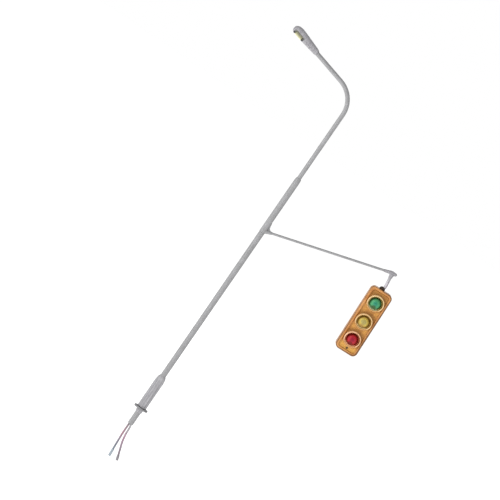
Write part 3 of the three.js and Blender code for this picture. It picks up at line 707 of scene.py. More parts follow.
def carve(shape, cutters, operation="DIFFERENCE"):
    """Cuts each cutter out of a shape, or joins it on, and removes the cutter."""
    for cutter in cutters:
        boolean = shape.modifiers.new("cut", "BOOLEAN")
        boolean.operation = operation
        boolean.solver = "EXACT"
        boolean.object = cutter
    bpy.context.view_layer.update()
    shape = apply_modifiers(shape)
    for cutter in cutters:
        bpy.data.objects.remove(cutter)
    return shape


def placed(mesh, matrix):
    """The bmesh moved by a matrix."""
    mesh.transform(matrix)
    return mesh


def rod(radius, bottom, top, sides=48):
    """A plain round rod along Z."""
    return turned([(0, bottom), (radius, bottom), (radius, top), (0, top)], sides)


def block(width, depth, height, centre):
    """A block about its centre."""
    mesh = bmesh.new()
    stretch = Matrix.Translation(centre) @ Matrix.Diagonal((width, depth, height, 1))
    bmesh.ops.create_cube(mesh, size=1, matrix=stretch)
    return mesh


UPRIGHT = Matrix.Rotation(math.pi / 2, 4, "X")


def plate(outline, thickness):
    """An outline in X and Z, thickened evenly about Y."""
    mesh = bmesh.new()
    lower = [mesh.verts.new((px, py, -thickness / 2)) for px, py in outline]
    upper = [mesh.verts.new((px, py, thickness / 2)) for px, py in outline]
    mesh.faces.new(list(reversed(lower)))
    mesh.faces.new(upper)
    for i in range(len(outline)):
        j = (i + 1) % len(outline)
        mesh.faces.new([lower[i], lower[j], upper[j], upper[i]])
    bmesh.ops.recalc_face_normals(mesh, faces=mesh.faces)
    return placed(mesh, UPRIGHT)


SLEEVE_RADIUS = -sleeve_low.x
SLEEVE_SHOULDER = 69.31
SLEEVE_LIP_RADIUS = 0.7
sleeve = made("sleeve_shape", turned(soften([
    (0, sleeve_low.z),
    (SLEEVE_RADIUS, sleeve_low.z),
    (SLEEVE_RADIUS, SLEEVE_SHOULDER),
    (SLEEVE_LIP_RADIUS, sleeve_high.z - 0.03),
    (0, sleeve_high.z),
], 0.12), 64))
BOSS_ROOT = 0.68
BOSS_TIP = 0.42
BOSS_START = 0.45
BOSS_REACH = 2.3
FLARE_STEPS = 12
flare = []
for i in range(FLARE_STEPS + 1):
    radius = BOSS_TIP + (BOSS_ROOT - BOSS_TIP) * (1 - i / FLARE_STEPS) ** 1.8
    flare.append((radius, BOSS_START + (BOSS_REACH - BOSS_START - EDGE) * i / FLARE_STEPS))
boss_outline = [(0, BOSS_START), *flare, (BOSS_TIP - 0.04, BOSS_REACH), (0, BOSS_REACH)]
boss = made("boss_shape", placed(turned(boss_outline, 48), arm_place))
GUSSET_THICK = 0.34
gusset_outline = soften(
    [(0.62, 57.3), (0.86, 57.3), (1.13, 55.75), (1.9, 55.28), (1.0, 54.8), (0.62, 55)], 0.25, closed=True)
gusset = made("gusset_shape", plate(gusset_outline, GUSSET_THICK))
sleeve = carve(sleeve, [boss, gusset], "UNION")
sleeve = carve(sleeve, [
    made("sleeve_bore", rod(TENON_RADIUS + CLEARANCE, sleeve_low.z - 1, sleeve_high.z + 1, 64)),
    made("arm_socket", placed(rod(ARM_RADIUS + CLEARANCE, ARM_START - EDGE, BOSS_REACH + 1), arm_place)),
    made("wire_hole", placed(rod(ARM_BORE, 0, 2), arm_place)),
])
fit(sleeve, "tee_sleeve", GREY_PAINT, crease=40)

# --- Side arm ---------------------------------------------------------------------------------------------
# The arm is a length of thin tube pushed into the boss, straight, rising away from the mast, and painted with
# it. Its feed pair runs inside.
arm_high = span("arm_tube")[1]
arm_end = (arm_high.x - ARM_RADIUS * math.sin(ARM_RISE)) / math.cos(ARM_RISE)
arm_outline = [(ARM_BORE, ARM_START), (ARM_RADIUS, ARM_START), (ARM_RADIUS, arm_end), (ARM_BORE, arm_end)]
arm_tube = made("arm_shape", turned(soften(arm_outline, 0.04, True), 40, closed=True))
fit(arm_tube, "arm_tube", GREY_PAINT, arm_place)
arm_way = [arm_place @ point for point in straight((0, 0, ARM_START + 0.1), (0, 0, arm_end - 0.1))]
feed_pair("arm_feed_wires", arm_way, 0.07)

# --- Arm end fitting --------------------------------------------------------------------------------------
# A small moulded elbow caps the arm and turns down to hold the hanger. It is one flowing shape, so its
# barrel, socket and nose are joined and then blended into each other.
GREY_MOULDING = moulded_grey("grey_moulding", tone("a9a8ab"), tone("949297"))
joints = {joint["name"]: joint for joint in frame["joints"]}
stem_axis = Vector(joints["hanger_turn"]["axis"])
PIN = Vector(joints["signal_swing"]["pos_m"]) / METRES
STEM_TILT = math.atan2(stem_axis.x, stem_axis.z)
stem_place = Matrix.Translation(PIN) @ Matrix.Rotation(STEM_TILT, 4, "Y")
BARREL_OUTLINE = [(0, 3.1), (0.5, 3.1), (0.53, 3.5), (0.62, 3.95), (0.64, 4.2), (0.4, 4.6), (0, 4.66)]
ELBOW_BALLS = [(32.8, 63.87, 0.54), (33.66, 63.93, 0.43)]
STEM_RADIUS = 0.41
STEM_BORE_TOP = 4.3

barrel = made("barrel_shape", placed(turned(soften(BARREL_OUTLINE, 0.12), 40), stem_place))
SOCKET_START = 31.9
socket_length = arm_end + 0.4 - SOCKET_START
SOCKET_RADIUS = 0.39
SOCKET_FLARE = 0.15
socket_flare = [(SOCKET_RADIUS + SOCKET_FLARE * (i / 10) ** 2, SOCKET_START + socket_length * i / 10)
                for i in range(11)]
socket_outline = [(0, SOCKET_START), *socket_flare, (0, SOCKET_START + socket_length)]
socket = made("socket_shape", placed(turned(socket_outline, 40), arm_place))
nose_mesh = bmesh.new()
for ball_x, ball_z, ball_radius in ELBOW_BALLS:
    ball_place = Matrix.Translation((ball_x, 0, ball_z))
    bmesh.ops.create_uvsphere(nose_mesh, u_segments=32, v_segments=20, radius=ball_radius, matrix=ball_place)
bmesh.ops.delete(nose_mesh, geom=nose_mesh.edges[:], context="EDGES_FACES")
hull = bmesh.ops.convex_hull(nose_mesh, input=nose_mesh.verts[:])
bmesh.ops.delete(nose_mesh, geom=list({*hull["geom_interior"], *hull["geom_unused"]}), context="VERTS")
nose = made("nose_shape", nose_mesh)
fitting = carve(barrel, [socket, nose], "UNION")
blend_skin = fitting.modifiers.new("blend_skin", "REMESH")
blend_skin.mode = "VOXEL"
blend_skin.voxel_size = 0.035
melt = fitting.modifiers.new("melt", "SMOOTH")
melt.factor = 0.6
melt.iterations = 14
fitting = apply_modifiers(fitting)
fitting = carve(fitting, [
    made("arm_bore", placed(rod(ARM_RADIUS + CLEARANCE, 30, arm_end + CLEARANCE, 40), arm_place)),
    made("stem_bore", placed(rod(STEM_RADIUS + CLEARANCE, 0, STEM_BORE_TOP, 48), stem_place)),
])
fit(fitting, "arm_end_fitting", GREY_MOULDING, crease=50)

# --- Top tube ---------------------------------------------------------------------------------------------
# The top of the mast is thinner tube, pushed down into the sleeve and bent over at the top in one round bend.
# It is painted like the rest, and the lamp's feed pair runs inside it.
TOP_RADIUS = 0.58
TOP_BORE = 0.37
BEND_RADIUS = 7
CORNER_HEIGHT = 94.9
LAMP_RISE = math.radians(15)
NECK_DISTANCE = 14.47
IN_LAMP = 1.46
top_start = span("top_tube")[0].z


def bent_way(beyond, step=0.35):
    """The centre line up the mast, round the bend and on towards the lamp."""
    turn = math.pi / 2 - LAMP_RISE
    tangent = BEND_RADIUS * math.tan(turn / 2)
    bend_start = CORNER_HEIGHT - tangent
    way = straight((0, 0, top_start), (0, 0, bend_start), 1.2)[:-1]
    bends = round(BEND_RADIUS * turn / step)
    for i in range(bends + 1):
        angle = turn * i / bends
        aside, above = BEND_RADIUS * (1 - math.cos(angle)), BEND_RADIUS * math.sin(angle)
        way.append(Vector((-aside, 0, bend_start + above)))
    onward = Vector((-math.cos(LAMP_RISE), 0, math.sin(LAMP_RISE)))
    return way + straight(way[-1], way[-1] + onward * (NECK_DISTANCE - tangent + beyond), 1.2)[1:]


tube_tree, tube_body = swept_tree("bent_tube", False)
close_tree(tube_tree, tube_body, GREY_PAINT)
top_tube = run_tree(line_object("top_line", bent_way(IN_LAMP)), tube_tree, Radius=TOP_RADIUS, Sides=56)
wall = top_tube.modifiers.new("wall", "SOLIDIFY")
wall.thickness = TOP_RADIUS - TOP_BORE
wall.offset = -1
top_tube = apply_modifiers(top_tube)
lips = top_tube.modifiers.new("lips", "BEVEL")
lips.width = 0.04
lips.segments = 3
lips.angle_limit = math.radians(60)
fit(top_tube, "top_tube", GREY_PAINT, crease=50)
fine_way = []
coarse = bent_way(IN_LAMP + 0.6)
for a, b in zip(coarse, coarse[1:]):
    fine_way += straight(a, b, 0.3)[:-1]
feed_pair("top_feed_wires", [*fine_way, coarse[-1]], 0.11)

# --- Street lamp ------------------------------------------------------------------------------------------
# The lamp head is a slim grey pod moulded in two parts: a cap with a nose, which grips the tube, and a tray
# under the wires. A notch across its underside holds the LED. In the lamp's own frame Z runs to the tip, X is
# up and Y is across.
LAMP_SQUARENESS = 2.6
LAMP_HOLLOW = 0.26
# Each section is its distance from the neck, its lowest and highest level, and half its width.
LAMP_SECTIONS = [
    (0, -0.66, 0.7, 0.68),
    (0.6, -0.78, 0.9, 0.88),
    (2.6, -0.88, 1.08, 1.2),
    (4.5, -0.98, 1.25, 1.36),
    (6.5, -1.12, 1.38, 1.4),
    (7.6, -1.12, 1.26, 1.25),
    (8.25, -0.85, 0.88, 0.92),
    (8.6, -0.35, 0.45, 0.48),
]
LAMP_SPLIT = -0.3
CAVITY_START = 2.6
NECK_BLOCK_END = 2.3
WINDOW_FROM = 5.3
WINDOW_TO = 7.5
WINDOW_LOW = -0.98
WINDOW_HIGH = 0
WINDOW_HALF = 1.15
PAD_LENGTH = 0.45
PAD_HALF = 0.95
PAD_LOW = -1
PAD_HIGH = -0.04
NOTCH_FROM = WINDOW_FROM - PAD_LENGTH - 2 * GAP
NOTCH_TO = WINDOW_TO + PAD_LENGTH + 2 * GAP
lamp_neck = Vector((
    -NECK_DISTANCE * math.cos(LAMP_RISE), 0, CORNER_HEIGHT + NECK_DISTANCE * math.sin(LAMP_RISE)))
lamp_place = Matrix.Translation(lamp_neck) @ Matrix.Rotation(LAMP_RISE - math.pi / 2, 4, "Y")


def skinned(mesh, rings):
    """Faces from ring to ring of a mesh's vertices, and across the first and the last ring."""
    for lower, upper in zip(rings, rings[1:]):
        for i in range(len(lower)):
            j = (i + 1) % len(lower)
            mesh.faces.new([lower[i], lower[j], upper[j], upper[i]])
    mesh.faces.new(rings[0])
    mesh.faces.new(rings[-1])
    bmesh.ops.recalc_face_normals(mesh, faces=mesh.faces)
    return mesh


def lamp_skin(name, inset, start, rows=44, sides=56):
    """A smooth closed skin over the lamp's sections, drawn in by a share of its size."""
    keys = [section for section in LAMP_SECTIONS if section[0] >= start]
    keys = [keys[0], *keys, keys[-1]]
    mesh = bmesh.new()
    rings = []
    last = len(keys) - 3
    for row in range(rows + 1):
        whole = last * row / rows
        i = min(int(whole), last - 1)
        at, low, high, half = [between(*four, whole - i) for four in zip(*keys[i:i + 4])]
        middle, tall, across = (low + high) / 2, (high - low) / 2 * (1 - inset), half * (1 - inset)
        ring = []
        for k in range(sides):
            c, s = math.cos(2 * math.pi * k / sides), math.sin(2 * math.pi * k / sides)
            bulge = (abs(c) ** LAMP_SQUARENESS + abs(s) ** LAMP_SQUARENESS) ** (-1 / LAMP_SQUARENESS)
            ring.append(mesh.verts.new((middle + tall * c * bulge, across * s * bulge, at * (1 - inset / 8))))
        rings.append(ring)
    return made(name, skinned(mesh, rings))


BIG = 20


def lamp_stretch(name, start, end, low=-BIG, high=BIG):
    """Everything between two distances from the lamp's neck and two levels."""
    return made(name, block(high - low, BIG, end - start, ((low + high) / 2, 0, (start + end) / 2)))


cap = carve(lamp_skin("cap_shape", 0, 0), [
    lamp_stretch("tray_room", NECK_BLOCK_END, NOTCH_TO - 0.1, high=LAMP_SPLIT),
    lamp_stretch("notch", NOTCH_FROM, NOTCH_TO, high=WINDOW_HIGH + GAP),
    lamp_skin("cap_cavity", LAMP_HOLLOW, CAVITY_START),
    made("tube_socket", rod(TOP_RADIUS + CLEARANCE, -1, IN_LAMP + 0.06)),
    made("wire_way", rod(TOP_BORE, 0, CAVITY_START + 0.5)),
])
fit(cap, "lamp_cap", GREY_MOULDING, lamp_place, crease=40)

tray = carve(lamp_skin("tray_shape", 0, 0), [
    lamp_stretch("over_split", -BIG, BIG, low=LAMP_SPLIT - GAP),
    lamp_stretch("behind_tray", -BIG, NECK_BLOCK_END + GAP),
    lamp_stretch("beyond_tray", NOTCH_FROM, BIG),
    lamp_skin("tray_cavity", LAMP_HOLLOW, CAVITY_START),
])
fit(tray, "lamp_tray", GREY_MOULDING, lamp_place, crease=40)

# --- Lamp LED ---------------------------------------------------------------------------------------------
# A surface-mount LED sits in the lamp's notch: a pale lit body between two ends soldered to a strip of green
# circuit board inside the lamp. The solder is dark below and paler towards the top.


def soft_block(name, low, high, edge):
    """A block between two corners with rounded edges."""
    low, high = Vector(low), Vector(high)
    shape = made(name, block(*(high - low), (low + high) / 2))
    bevel = shape.modifiers.new("edges", "BEVEL")
    bevel.width = edge
    bevel.segments = 3
    return shape


def lamp_height(finish):
    """The height above the tube's line in the lamp's own frame, in millimetres."""
    turn = {"Vector": finish.place, "Location": lamp_neck, "Rotation": (0, LAMP_RISE - math.pi / 2, 0)}
    return finish.place.node("ShaderNodeMapping", turn, vector_type="TEXTURE").axes()[0]


window_glow = Finish("lamp_window", Emission_Strength=1.0)
level = lamp_height(window_glow)
downward = level.ramp(WINDOW_HIGH - 0.35, WINDOW_LOW + 0.1)
underside = level.ramp(WINDOW_LOW + 0.06, WINDOW_LOW)
swirl = window_glow.place.noise(1.6, 3)
window_glow.set(
    Base_Color=(downward + (swirl - 0.5) * 0.5).mix(tone("86846c"), tone("c2c09a")),
    Emission_Color=underside.mix(downward.mix((0, 0, 0, 1), tone("4c4a34")), tone("f8f2c0")),
    Roughness=swirl * 0.2 + 0.3,
)
window_glow.bump(swirl, 0.02)
window_corners = (WINDOW_LOW, -WINDOW_HALF, WINDOW_FROM), (WINDOW_HIGH, WINDOW_HALF, WINDOW_TO)
window = soft_block("window_shape", *window_corners, 0.1)
fit(window, "lamp_window", window_glow.material, lamp_place)

solder = Finish("dark_solder", Coat_Weight=0.1)
blobs = solder.place.noise(3.0, 3)
# The solder turns paler towards the top, by height alone.
upper_part = (lamp_height(solder) + (blobs - 0.5) * 0.3).ramp(-0.6, -0.35)
black = blobs.ramp(0.35, 0.7).mix(tone("1b1918"), tone("4b4a4c"))
solder.set(Base_Color=upper_part.mix(black, tone("96968f")), Roughness=blobs * 0.3 + 0.35, Metallic=blobs * 0.2)
solder.bump(blobs, 0.05)
for node, at in (("lamp_pad_inner", WINDOW_FROM - GAP - PAD_LENGTH), ("lamp_pad_outer", WINDOW_TO + GAP)):
    pad_corners = (PAD_LOW, -PAD_HALF, at), (PAD_HIGH, PAD_HALF, at + PAD_LENGTH)
    pad = soft_block(node + "_shape", *pad_corners, 0.12)
    fit(pad, node, solder.material, lamp_place)


def board_finish(name):
    """Green lacquered board with the faint lines of its tracks."""
    finish = Finish(name, Coat_Weight=0.6, Roughness=0.35)
    z = finish.place.axes()[2]
    tracks = (z * 5.0).sum("SINE").ramp(0.75, 0.9)
    weave = finish.place.stretched(8, 8, 8).noise(1.0, 2)
    colour = tracks.mix(weave.ramp(0.3, 0.7).mix(tone("1f4a2c"), tone("2c6239")), tone("47875a"))
    finish.set(Base_Color=colour)
    finish.bump(tracks * 0.6 + weave * 0.4, 0.01)
    return finish.material


BOARD_GREEN = board_finish("board_green")
STRIP_FROM = 3.6
STRIP_TO = 7.4
STRIP_HALF = 0.7
STRIP_THICK = 0.25
strip_bottom = WINDOW_HIGH + GAP
strip_corners = (strip_bottom, -STRIP_HALF, STRIP_FROM), (strip_bottom + STRIP_THICK, STRIP_HALF, STRIP_TO)
lamp_board = soft_block("lamp_board_shape", *strip_corners, 0.03)
fit(lamp_board, "lamp_board", BOARD_GREEN, lamp_place)

# --- Hanger stem ------------------------------------------------------------------------------------------
# A round moulded stem turns in the elbow, paler towards its foot, with painted shade low on its +X side. Its
# foot is flattened to a tongue that takes the knuckle pin.
stem_moulding = Finish("pale_stem")
stem_turn = {"Vector": stem_moulding.place, "Location": PIN, "Rotation": (0, STEM_TILT, 0)}
x, y, z = stem_moulding.place.node("ShaderNodeMapping", stem_turn, vector_type="TEXTURE").axes()
blur = stem_moulding.place.noise(1.8, 3)
lower = (z + (blur - 0.5) * 1.2).ramp(3.0, 1.0)
# Painted shade low on the stem's +X side.
shaded = (x + (blur - 0.5) * 0.3).ramp(0.1, 0.34) * z.ramp(2.7, 2.0)
stem_tone = lower.mix(tone("a4a3a7"), tone("d0ccd3"))
stem_moulding.set(
    Base_Color=(shaded * 0.85).mix(stem_tone, tone("5c4a5e")), Roughness=blur * 0.25 + 0.38)
stem_moulding.bump(blur, 0.01)
STEM_SHOULDER = 0.78
STEM_TOP = 4.25
TONGUE_RADIUS = 0.24
TONGUE_THICK = 0.34
PIN_RADIUS = 0.1
stem_outline = [(0, STEM_SHOULDER), (STEM_RADIUS, STEM_SHOULDER), (STEM_RADIUS, STEM_TOP), (0, STEM_TOP)]
stem = made("stem_shape", turned(soften(stem_outline, 0.08), 48))
half_round = [(TONGUE_RADIUS * math.cos(math.pi * i / 12), -TONGUE_RADIUS * math.sin(math.pi * i / 12))
              for i in range(12, -1, -1)]
tongue_half = STEM_RADIUS - 0.04
tongue_outline = [
    *half_round, (tongue_half, 0.45), (tongue_half, 0.9), (-tongue_half, 0.9), (-tongue_half, 0.45)]
tongue = made("tongue_shape", plate(tongue_outline, TONGUE_THICK))
stem = carve(stem, [tongue], "UNION")
pin_hole = made("pin_hole", placed(rod(PIN_RADIUS + CLEARANCE, -1, 1, 32), UPRIGHT))
stem = carve(stem, [pin_hole])
fit(stem, "hanger_stem", stem_moulding.material, stem_place, crease=40)

# --- Knuckle ----------------------------------------------------------------------------------------------
# A dark half-round moulded knuckle stands on the signal's top, slotted for the stem's tongue. A steel pin
# through both lets the signal swing. Everything from here on leans with the signal, about that pin.
signal_lean = math.radians(1.8)
signal_place = Matrix.Translation(PIN) @ Matrix.Rotation(-signal_lean, 4, "Y")
KNUCKLE_RADIUS = 0.75
KNUCKLE_SHIFT = -0.42
KNUCKLE_THICK = 0.86
SLOT_THICK = 0.42
HOUSING_TOP = 59 - PIN.z
foot = HOUSING_TOP + GAP

knuckle_black = Finish("knuckle_black", Coat_Weight=0.15)
rubs = knuckle_black.place.noise(4.5, 5, 0.65)
knuckle_black.set(
    Base_Color=rubs.ramp(0.35, 0.75).mix(tone("1f1408"), tone("4a3316")), Roughness=rubs * 0.35 + 0.35)
knuckle_black.bump(rubs, 0.025)
knuckle_outline = [(KNUCKLE_SHIFT + KNUCKLE_RADIUS * math.cos(math.pi * i / 32),
                    foot + KNUCKLE_RADIUS * math.sin(math.pi * i / 32)) for i in range(33)]
knuckle = made("knuckle_shape", plate(knuckle_outline, KNUCKLE_THICK))
slot_floor = -TONGUE_RADIUS - 0.03
knuckle = carve(knuckle, [
    made("slot_cut", block(BIG, SLOT_THICK, BIG, (0, 0, BIG / 2 + slot_floor))),
    made("ear_holes", placed(rod(PIN_RADIUS + 0.01, -1, 1, 32), UPRIGHT)),
])
knuckle_edges = knuckle.modifiers.new("edges", "BEVEL")
knuckle_edges.width = 0.035
knuckle_edges.segments = 2
knuckle_edges.angle_limit = math.radians(50)
fit(knuckle, "hanger_knuckle", knuckle_black.material, signal_place, crease=40)

pin_steel = Finish("pin_steel", Roughness=0.3)
turning = pin_steel.place.stretched(1, 12, 1).noise(4.0, 2)
pin_steel.set(Base_Color=turning.mix(tone("3e3540"), tone("77707c")), Metallic=turning * 0.3 + 0.6)
pin_steel.bump(turning, 0.006)
pin_half = KNUCKLE_THICK / 2
pin_outline = soften([(0, -pin_half), (PIN_RADIUS, -pin_half), (PIN_RADIUS, pin_half), (0, pin_half)], 0.04)
pin = made("pin_shape", placed(turned(pin_outline, 32), UPRIGHT))
fit(pin, "knuckle_pin", pin_steel.material, signal_place)

# --- Signal housing ---------------------------------------------------------------------------------------
# The housing is an orange-tan moulding: a box with a raised round-edged rim and a recessed face with three
# openings. Painted shade darkens the recess, the face above the hoods, the rim's edges and the outer walls.
# From here X and Y are the face, Z is outwards.
HOUSING_WIDTH = 6.1
HOUSING_HEIGHT = 18.16
HOUSING_CORNER = 1.25
RIM_WIDTH = 0.75
RIM_FRONT = 1.7
FACE_FRONT = 1.35
FACE_BACK = 1.0
SHELL_BACK = -1.0
COVER_BACK = -1.7
WALL = 0.5
SCREW_Y = HOUSING_HEIGHT / 2 - 16.95
HOUSING_MIDDLE = HOUSING_TOP - HOUSING_HEIGHT / 2
face_place = signal_place @ Matrix.Translation((0, 0, HOUSING_MIDDLE)) @ UPRIGHT
AMBER_AT = HOUSING_HEIGHT / 2 - 9.15
LIGHTS_AT = {"green": AMBER_AT + 5.45, "amber": AMBER_AT, "red": AMBER_AT - 5.27}


def outline_at(inset, steps=10):
    """The housing's rounded outline, drawn in by an inset."""
    radius = max(HOUSING_CORNER - inset * 0.8, 0.2)
    px, py = HOUSING_WIDTH / 2 - inset - radius, HOUSING_HEIGHT / 2 - inset - radius
    points = []
    for quarter, (cx, cy) in enumerate(((px, py), (-px, py), (-px, -py), (px, -py))):
        for i in range(steps + 1):
            angle = math.pi / 2 * (quarter + i / steps)
            points.append((cx + radius * math.cos(angle), cy + radius * math.sin(angle)))
    return points


def nested(levels):
    """A closed skin through housing outlines, each level an (inset, height); both ends are filled."""
    mesh = bmesh.new()
    rings = [[mesh.verts.new((px, py, height)) for px, py in outline_at(inset)] for inset, height in levels]
    return skinned(mesh, rings)


def on_face(mesh, height):
    """A mesh about the middle of the face, moved up to one height."""
    return placed(mesh, Matrix.Translation((0, height, 0)))


def face_axes(finish, height=0):
    """Across, up and out of the face, from the middle of the housing or from one light, in millimetres."""
    turn = {"Vector": finish.place, "Location": PIN, "Rotation": (0, -signal_lean, 0)}
    across, deep, up = finish.place.node("ShaderNodeMapping", turn, vector_type="TEXTURE").axes()
    return across, up - (HOUSING_MIDDLE + height), deep * -1


def orange_finish(name):
    """Orange-tan paint, cloudy and rubbed: lighter rim, painted shade in recess, above the hoods and on
    walls.
    """
    finish = Finish(name, Coat_Weight=0.1)
    across, up, out = face_axes(finish)
    side = across.sum("ABSOLUTE") - (HOUSING_WIDTH / 2 - HOUSING_CORNER)
    end = up.sum("ABSOLUTE") - (HOUSING_HEIGHT / 2 - HOUSING_CORNER)
    outside = (side.sum("MAXIMUM", 0) ** 2 + end.sum("MAXIMUM", 0) ** 2).sum("SQRT")
    inset = HOUSING_CORNER - outside - side.sum("MAXIMUM", end).sum("MINIMUM", 0)
    in_face = out.ramp(1.55, 1.4) * out.ramp(1.1, 1.25) * inset.ramp(0.7, 0.8)
    clouds = finish.place.noise(0.5, 3)
    drips = finish.place.stretched(1.6, 1.6, 0.4).noise(0.9, 3)
    drift = (clouds - 0.5) * 0.35
    face = (clouds * 0.5 + drips * 0.5).ramp(0.35, 0.65).mix(tone("c28436"), tone("d79d49"))
    lowest = (up + drift * 2).ramp(-6.3, -7.6)
    face = (lowest * 0.9).mix(face, tone("dba348"))
    # Painted shade in the recess: darker towards the rim, most near the top.
    corner = (inset + drift).ramp(1.5, 0.75)
    painted_shade = corner * (up.ramp(4.5, 7.0) * 0.4 + 0.15)
    # Painted shadow on the face above each hood.
    for height in LIGHTS_AT.values():
        above = up - (height + 0.2)
        away = (across * across * 0.9 + above * above).sum("SQRT")
        painted_shade = painted_shade.sum("MAXIMUM", (away + drift * 1.5).ramp(3.15, 2.2) * above.ramp(0.2, 1.8) * 0.8)
    face = (painted_shade * 0.8).mix(face, tone("8a5a1e"))
    # Painted shade on the rim's rounded outer edge, widest on the +X side and at the bottom, and along its
    # inner step into the recess, heavier towards +X.
    band = (inset + drift * 0.25 - across * 0.04 + up * 0.012).ramp(0.16, 0.42)
    inner = (inset + drift * 0.25).ramp(0.58, 0.74) * (across.ramp(-3.5, 0) * 0.6 + 0.25)
    rim = clouds.ramp(0.3, 0.7).mix(tone("c5833f"), tone("da9c5a"))
    rim = inner.mix(rim, tone("90581e"))
    rim = band.mix((drips * 0.6).mix(tone("74491b"), tone("9a6428")), rim)
    # The outer walls are painted darker than the rim, as painted shade.
    side = (clouds * 0.5 + drips * 0.5).ramp(0.35, 0.65).mix(tone("a56d34"), tone("c58c4e"))
    side = out.ramp(1.0, 1.35).mix(side, rim)
    colour = in_face.mix(side, face)
    finish.set(Base_Color=colour, Roughness=drips * 0.25 + 0.36 + in_face * 0.1)
    finish.bump(clouds * 0.4 + drips * 0.6, 0.015)
    return finish.material


HOUSING_ORANGE = orange_finish("housing_orange")
housing_levels = [
    (RIM_WIDTH + 0.35, FACE_FRONT),
    (RIM_WIDTH + 0.12, FACE_FRONT + 0.005),
    (RIM_WIDTH + 0.03, FACE_FRONT + 0.06),
    (RIM_WIDTH - 0.03, RIM_FRONT - 0.14),
    (RIM_WIDTH - 0.08, RIM_FRONT - 0.05),
    (RIM_WIDTH - 0.19, RIM_FRONT),
    (0.24, RIM_FRONT),
    (0.12, RIM_FRONT - 0.03),
    (0.035, RIM_FRONT - 0.11),
    (0, RIM_FRONT - 0.24),
    (0, SHELL_BACK + 0.05),
    (0.05, SHELL_BACK),
    (WALL - 0.03, SHELL_BACK),
    (WALL, SHELL_BACK + 0.05),
    (WALL, FACE_BACK - 0.1),
    (WALL + 0.1, FACE_BACK),
]
housing = made("housing_shape", nested(housing_levels))
BEZEL_RADIUS = 1.79
SCREW_HOLE = 0.17
holes = [made("hole_" + name, on_face(rod(BEZEL_RADIUS + CLEARANCE, 0, 4, 64), at))
         for name, at in LIGHTS_AT.items()]
holes.append(made("screw_hole", on_face(rod(SCREW_HOLE, 0, 4, 24), SCREW_Y)))
housing = carve(housing, holes)
fit(housing, "signal_housing", HOUSING_ORANGE, face_place, crease=32)

# --- Back cover -------------------------------------------------------------------------------------------
# The cover closes the housing from behind, in the same orange moulding. It has rounded edges, a shallow sunk
# panel, a lip that drops inside the shell, and a post for the screw.
POST_RADIUS = 0.4
POST_TOP = -0.3
cover_levels = [
    (1.2, COVER_BACK + 0.12),
    (1.05, COVER_BACK + 0.12),
    (0.95, COVER_BACK),
    (0.3, COVER_BACK),
    (0.12, COVER_BACK + 0.04),
    (0.03, COVER_BACK + 0.14),
    (0, COVER_BACK + 0.28),
    (0, SHELL_BACK - GAP - 0.04),
    (0.04, SHELL_BACK - GAP),
    (0.53, SHELL_BACK - GAP),
    (0.53, -0.4),
    (0.56, -0.35),
    (0.75, -0.35),
    (0.78, -0.4),
    (0.78, SHELL_BACK - GAP),
]
cover = made("cover_shape", nested(cover_levels))
post = made("post_shape", on_face(rod(POST_RADIUS, SHELL_BACK - 0.2, POST_TOP, 32), SCREW_Y))
cover = carve(cover, [post], "UNION")
cover = carve(cover, [made("post_hole", on_face(rod(SCREW_HOLE, SHELL_BACK, 1, 24), SCREW_Y))])
fit(cover, "signal_back_cover", HOUSING_ORANGE, face_place, crease=32)

# --- Hoods ------------------------------------------------------------------------------------------------
# Each light has a cream moulded hood: a thin wall open below, longest at the top and cut back on a slope to
# its ends, on a round foot that is glued to the face. Its inside and its foot are darkened with painted
# shade.
HOOD_RADIUS = 2.2
HOOD_BORE = 1.85
HOOD_FRONT = 3.1
HOOD_END_FRONT = 1.9
HOOD_FOOT_FRONT = 1.6
HOOD_OPEN = math.radians(50)


def hood():
    """One hood about the light's centre, made as a thin rounded wall swept round the light."""
    mesh = bmesh.new()
    rows = []
    steps = 72
    middle = (HOOD_RADIUS + HOOD_BORE) / 2
    half = (HOOD_RADIUS - HOOD_BORE) / 2
    lowest = -HOOD_RADIUS * math.cos(HOOD_OPEN)
    for i in range(steps + 1):
        angle = HOOD_OPEN - math.pi / 2 + (2 * math.pi - 2 * HOOD_OPEN) * i / steps
        share = (middle * math.sin(angle) - lowest) / (HOOD_RADIUS - lowest)
        front = HOOD_END_FRONT + (HOOD_FRONT - HOOD_END_FRONT) * share
        back = FACE_FRONT + GAP
        wall_points = [(half, back), (half, (back + front) / 2)]
        lip = 10
        for k in range(lip + 1):
            turn = math.pi * k / lip
            wall_points.append((half * math.cos(turn), front - half + half * math.sin(turn)))
        wall_points += [(-half, (back + front) / 2), (-half, back)]
        rows.append([
            mesh.verts.new(((middle + out) * math.cos(angle), (middle + out) * math.sin(angle), height))
            for out, height in wall_points])
    return skinned(mesh, rows)


def hood_finish(name, height, low, high):
    """Cream paint outside and on the lip, painted shade in dark olive inside, by distance from the light's
    centre.
    """
    finish = Finish(name, Coat_Weight=0.15)
    across, up, out = face_axes(finish, height)
    away = (across * across + up * up).sum("SQRT")
    mottle = finish.place.noise(1.8, 3)
    # Painted shade: dark olive inside the hood, left out at its open bottom, and brown where its foot meets
    # the face.
    inside = (away + (mottle - 0.5) * 0.08).ramp(1.96, 1.87)
    foot_shade = out.ramp(1.75, 1.4)
    fading = (up + (mottle - 0.5) * 0.6).ramp(-1.0, -1.7)
    cream = mottle.ramp(0.35, 0.65).mix(low, high)
    colour = (foot_shade * 0.7).mix(cream, tone("9a6424"))
    colour = (inside * fading.ramp(1, 0)).mix(colour, tone("8f7226"))
    colour = (fading * 0.85).mix(colour, tone("d09a58"))
    finish.set(Base_Color=colour, Roughness=mottle * 0.3 + 0.35)
    finish.bump(mottle, 0.012)
    return finish.material


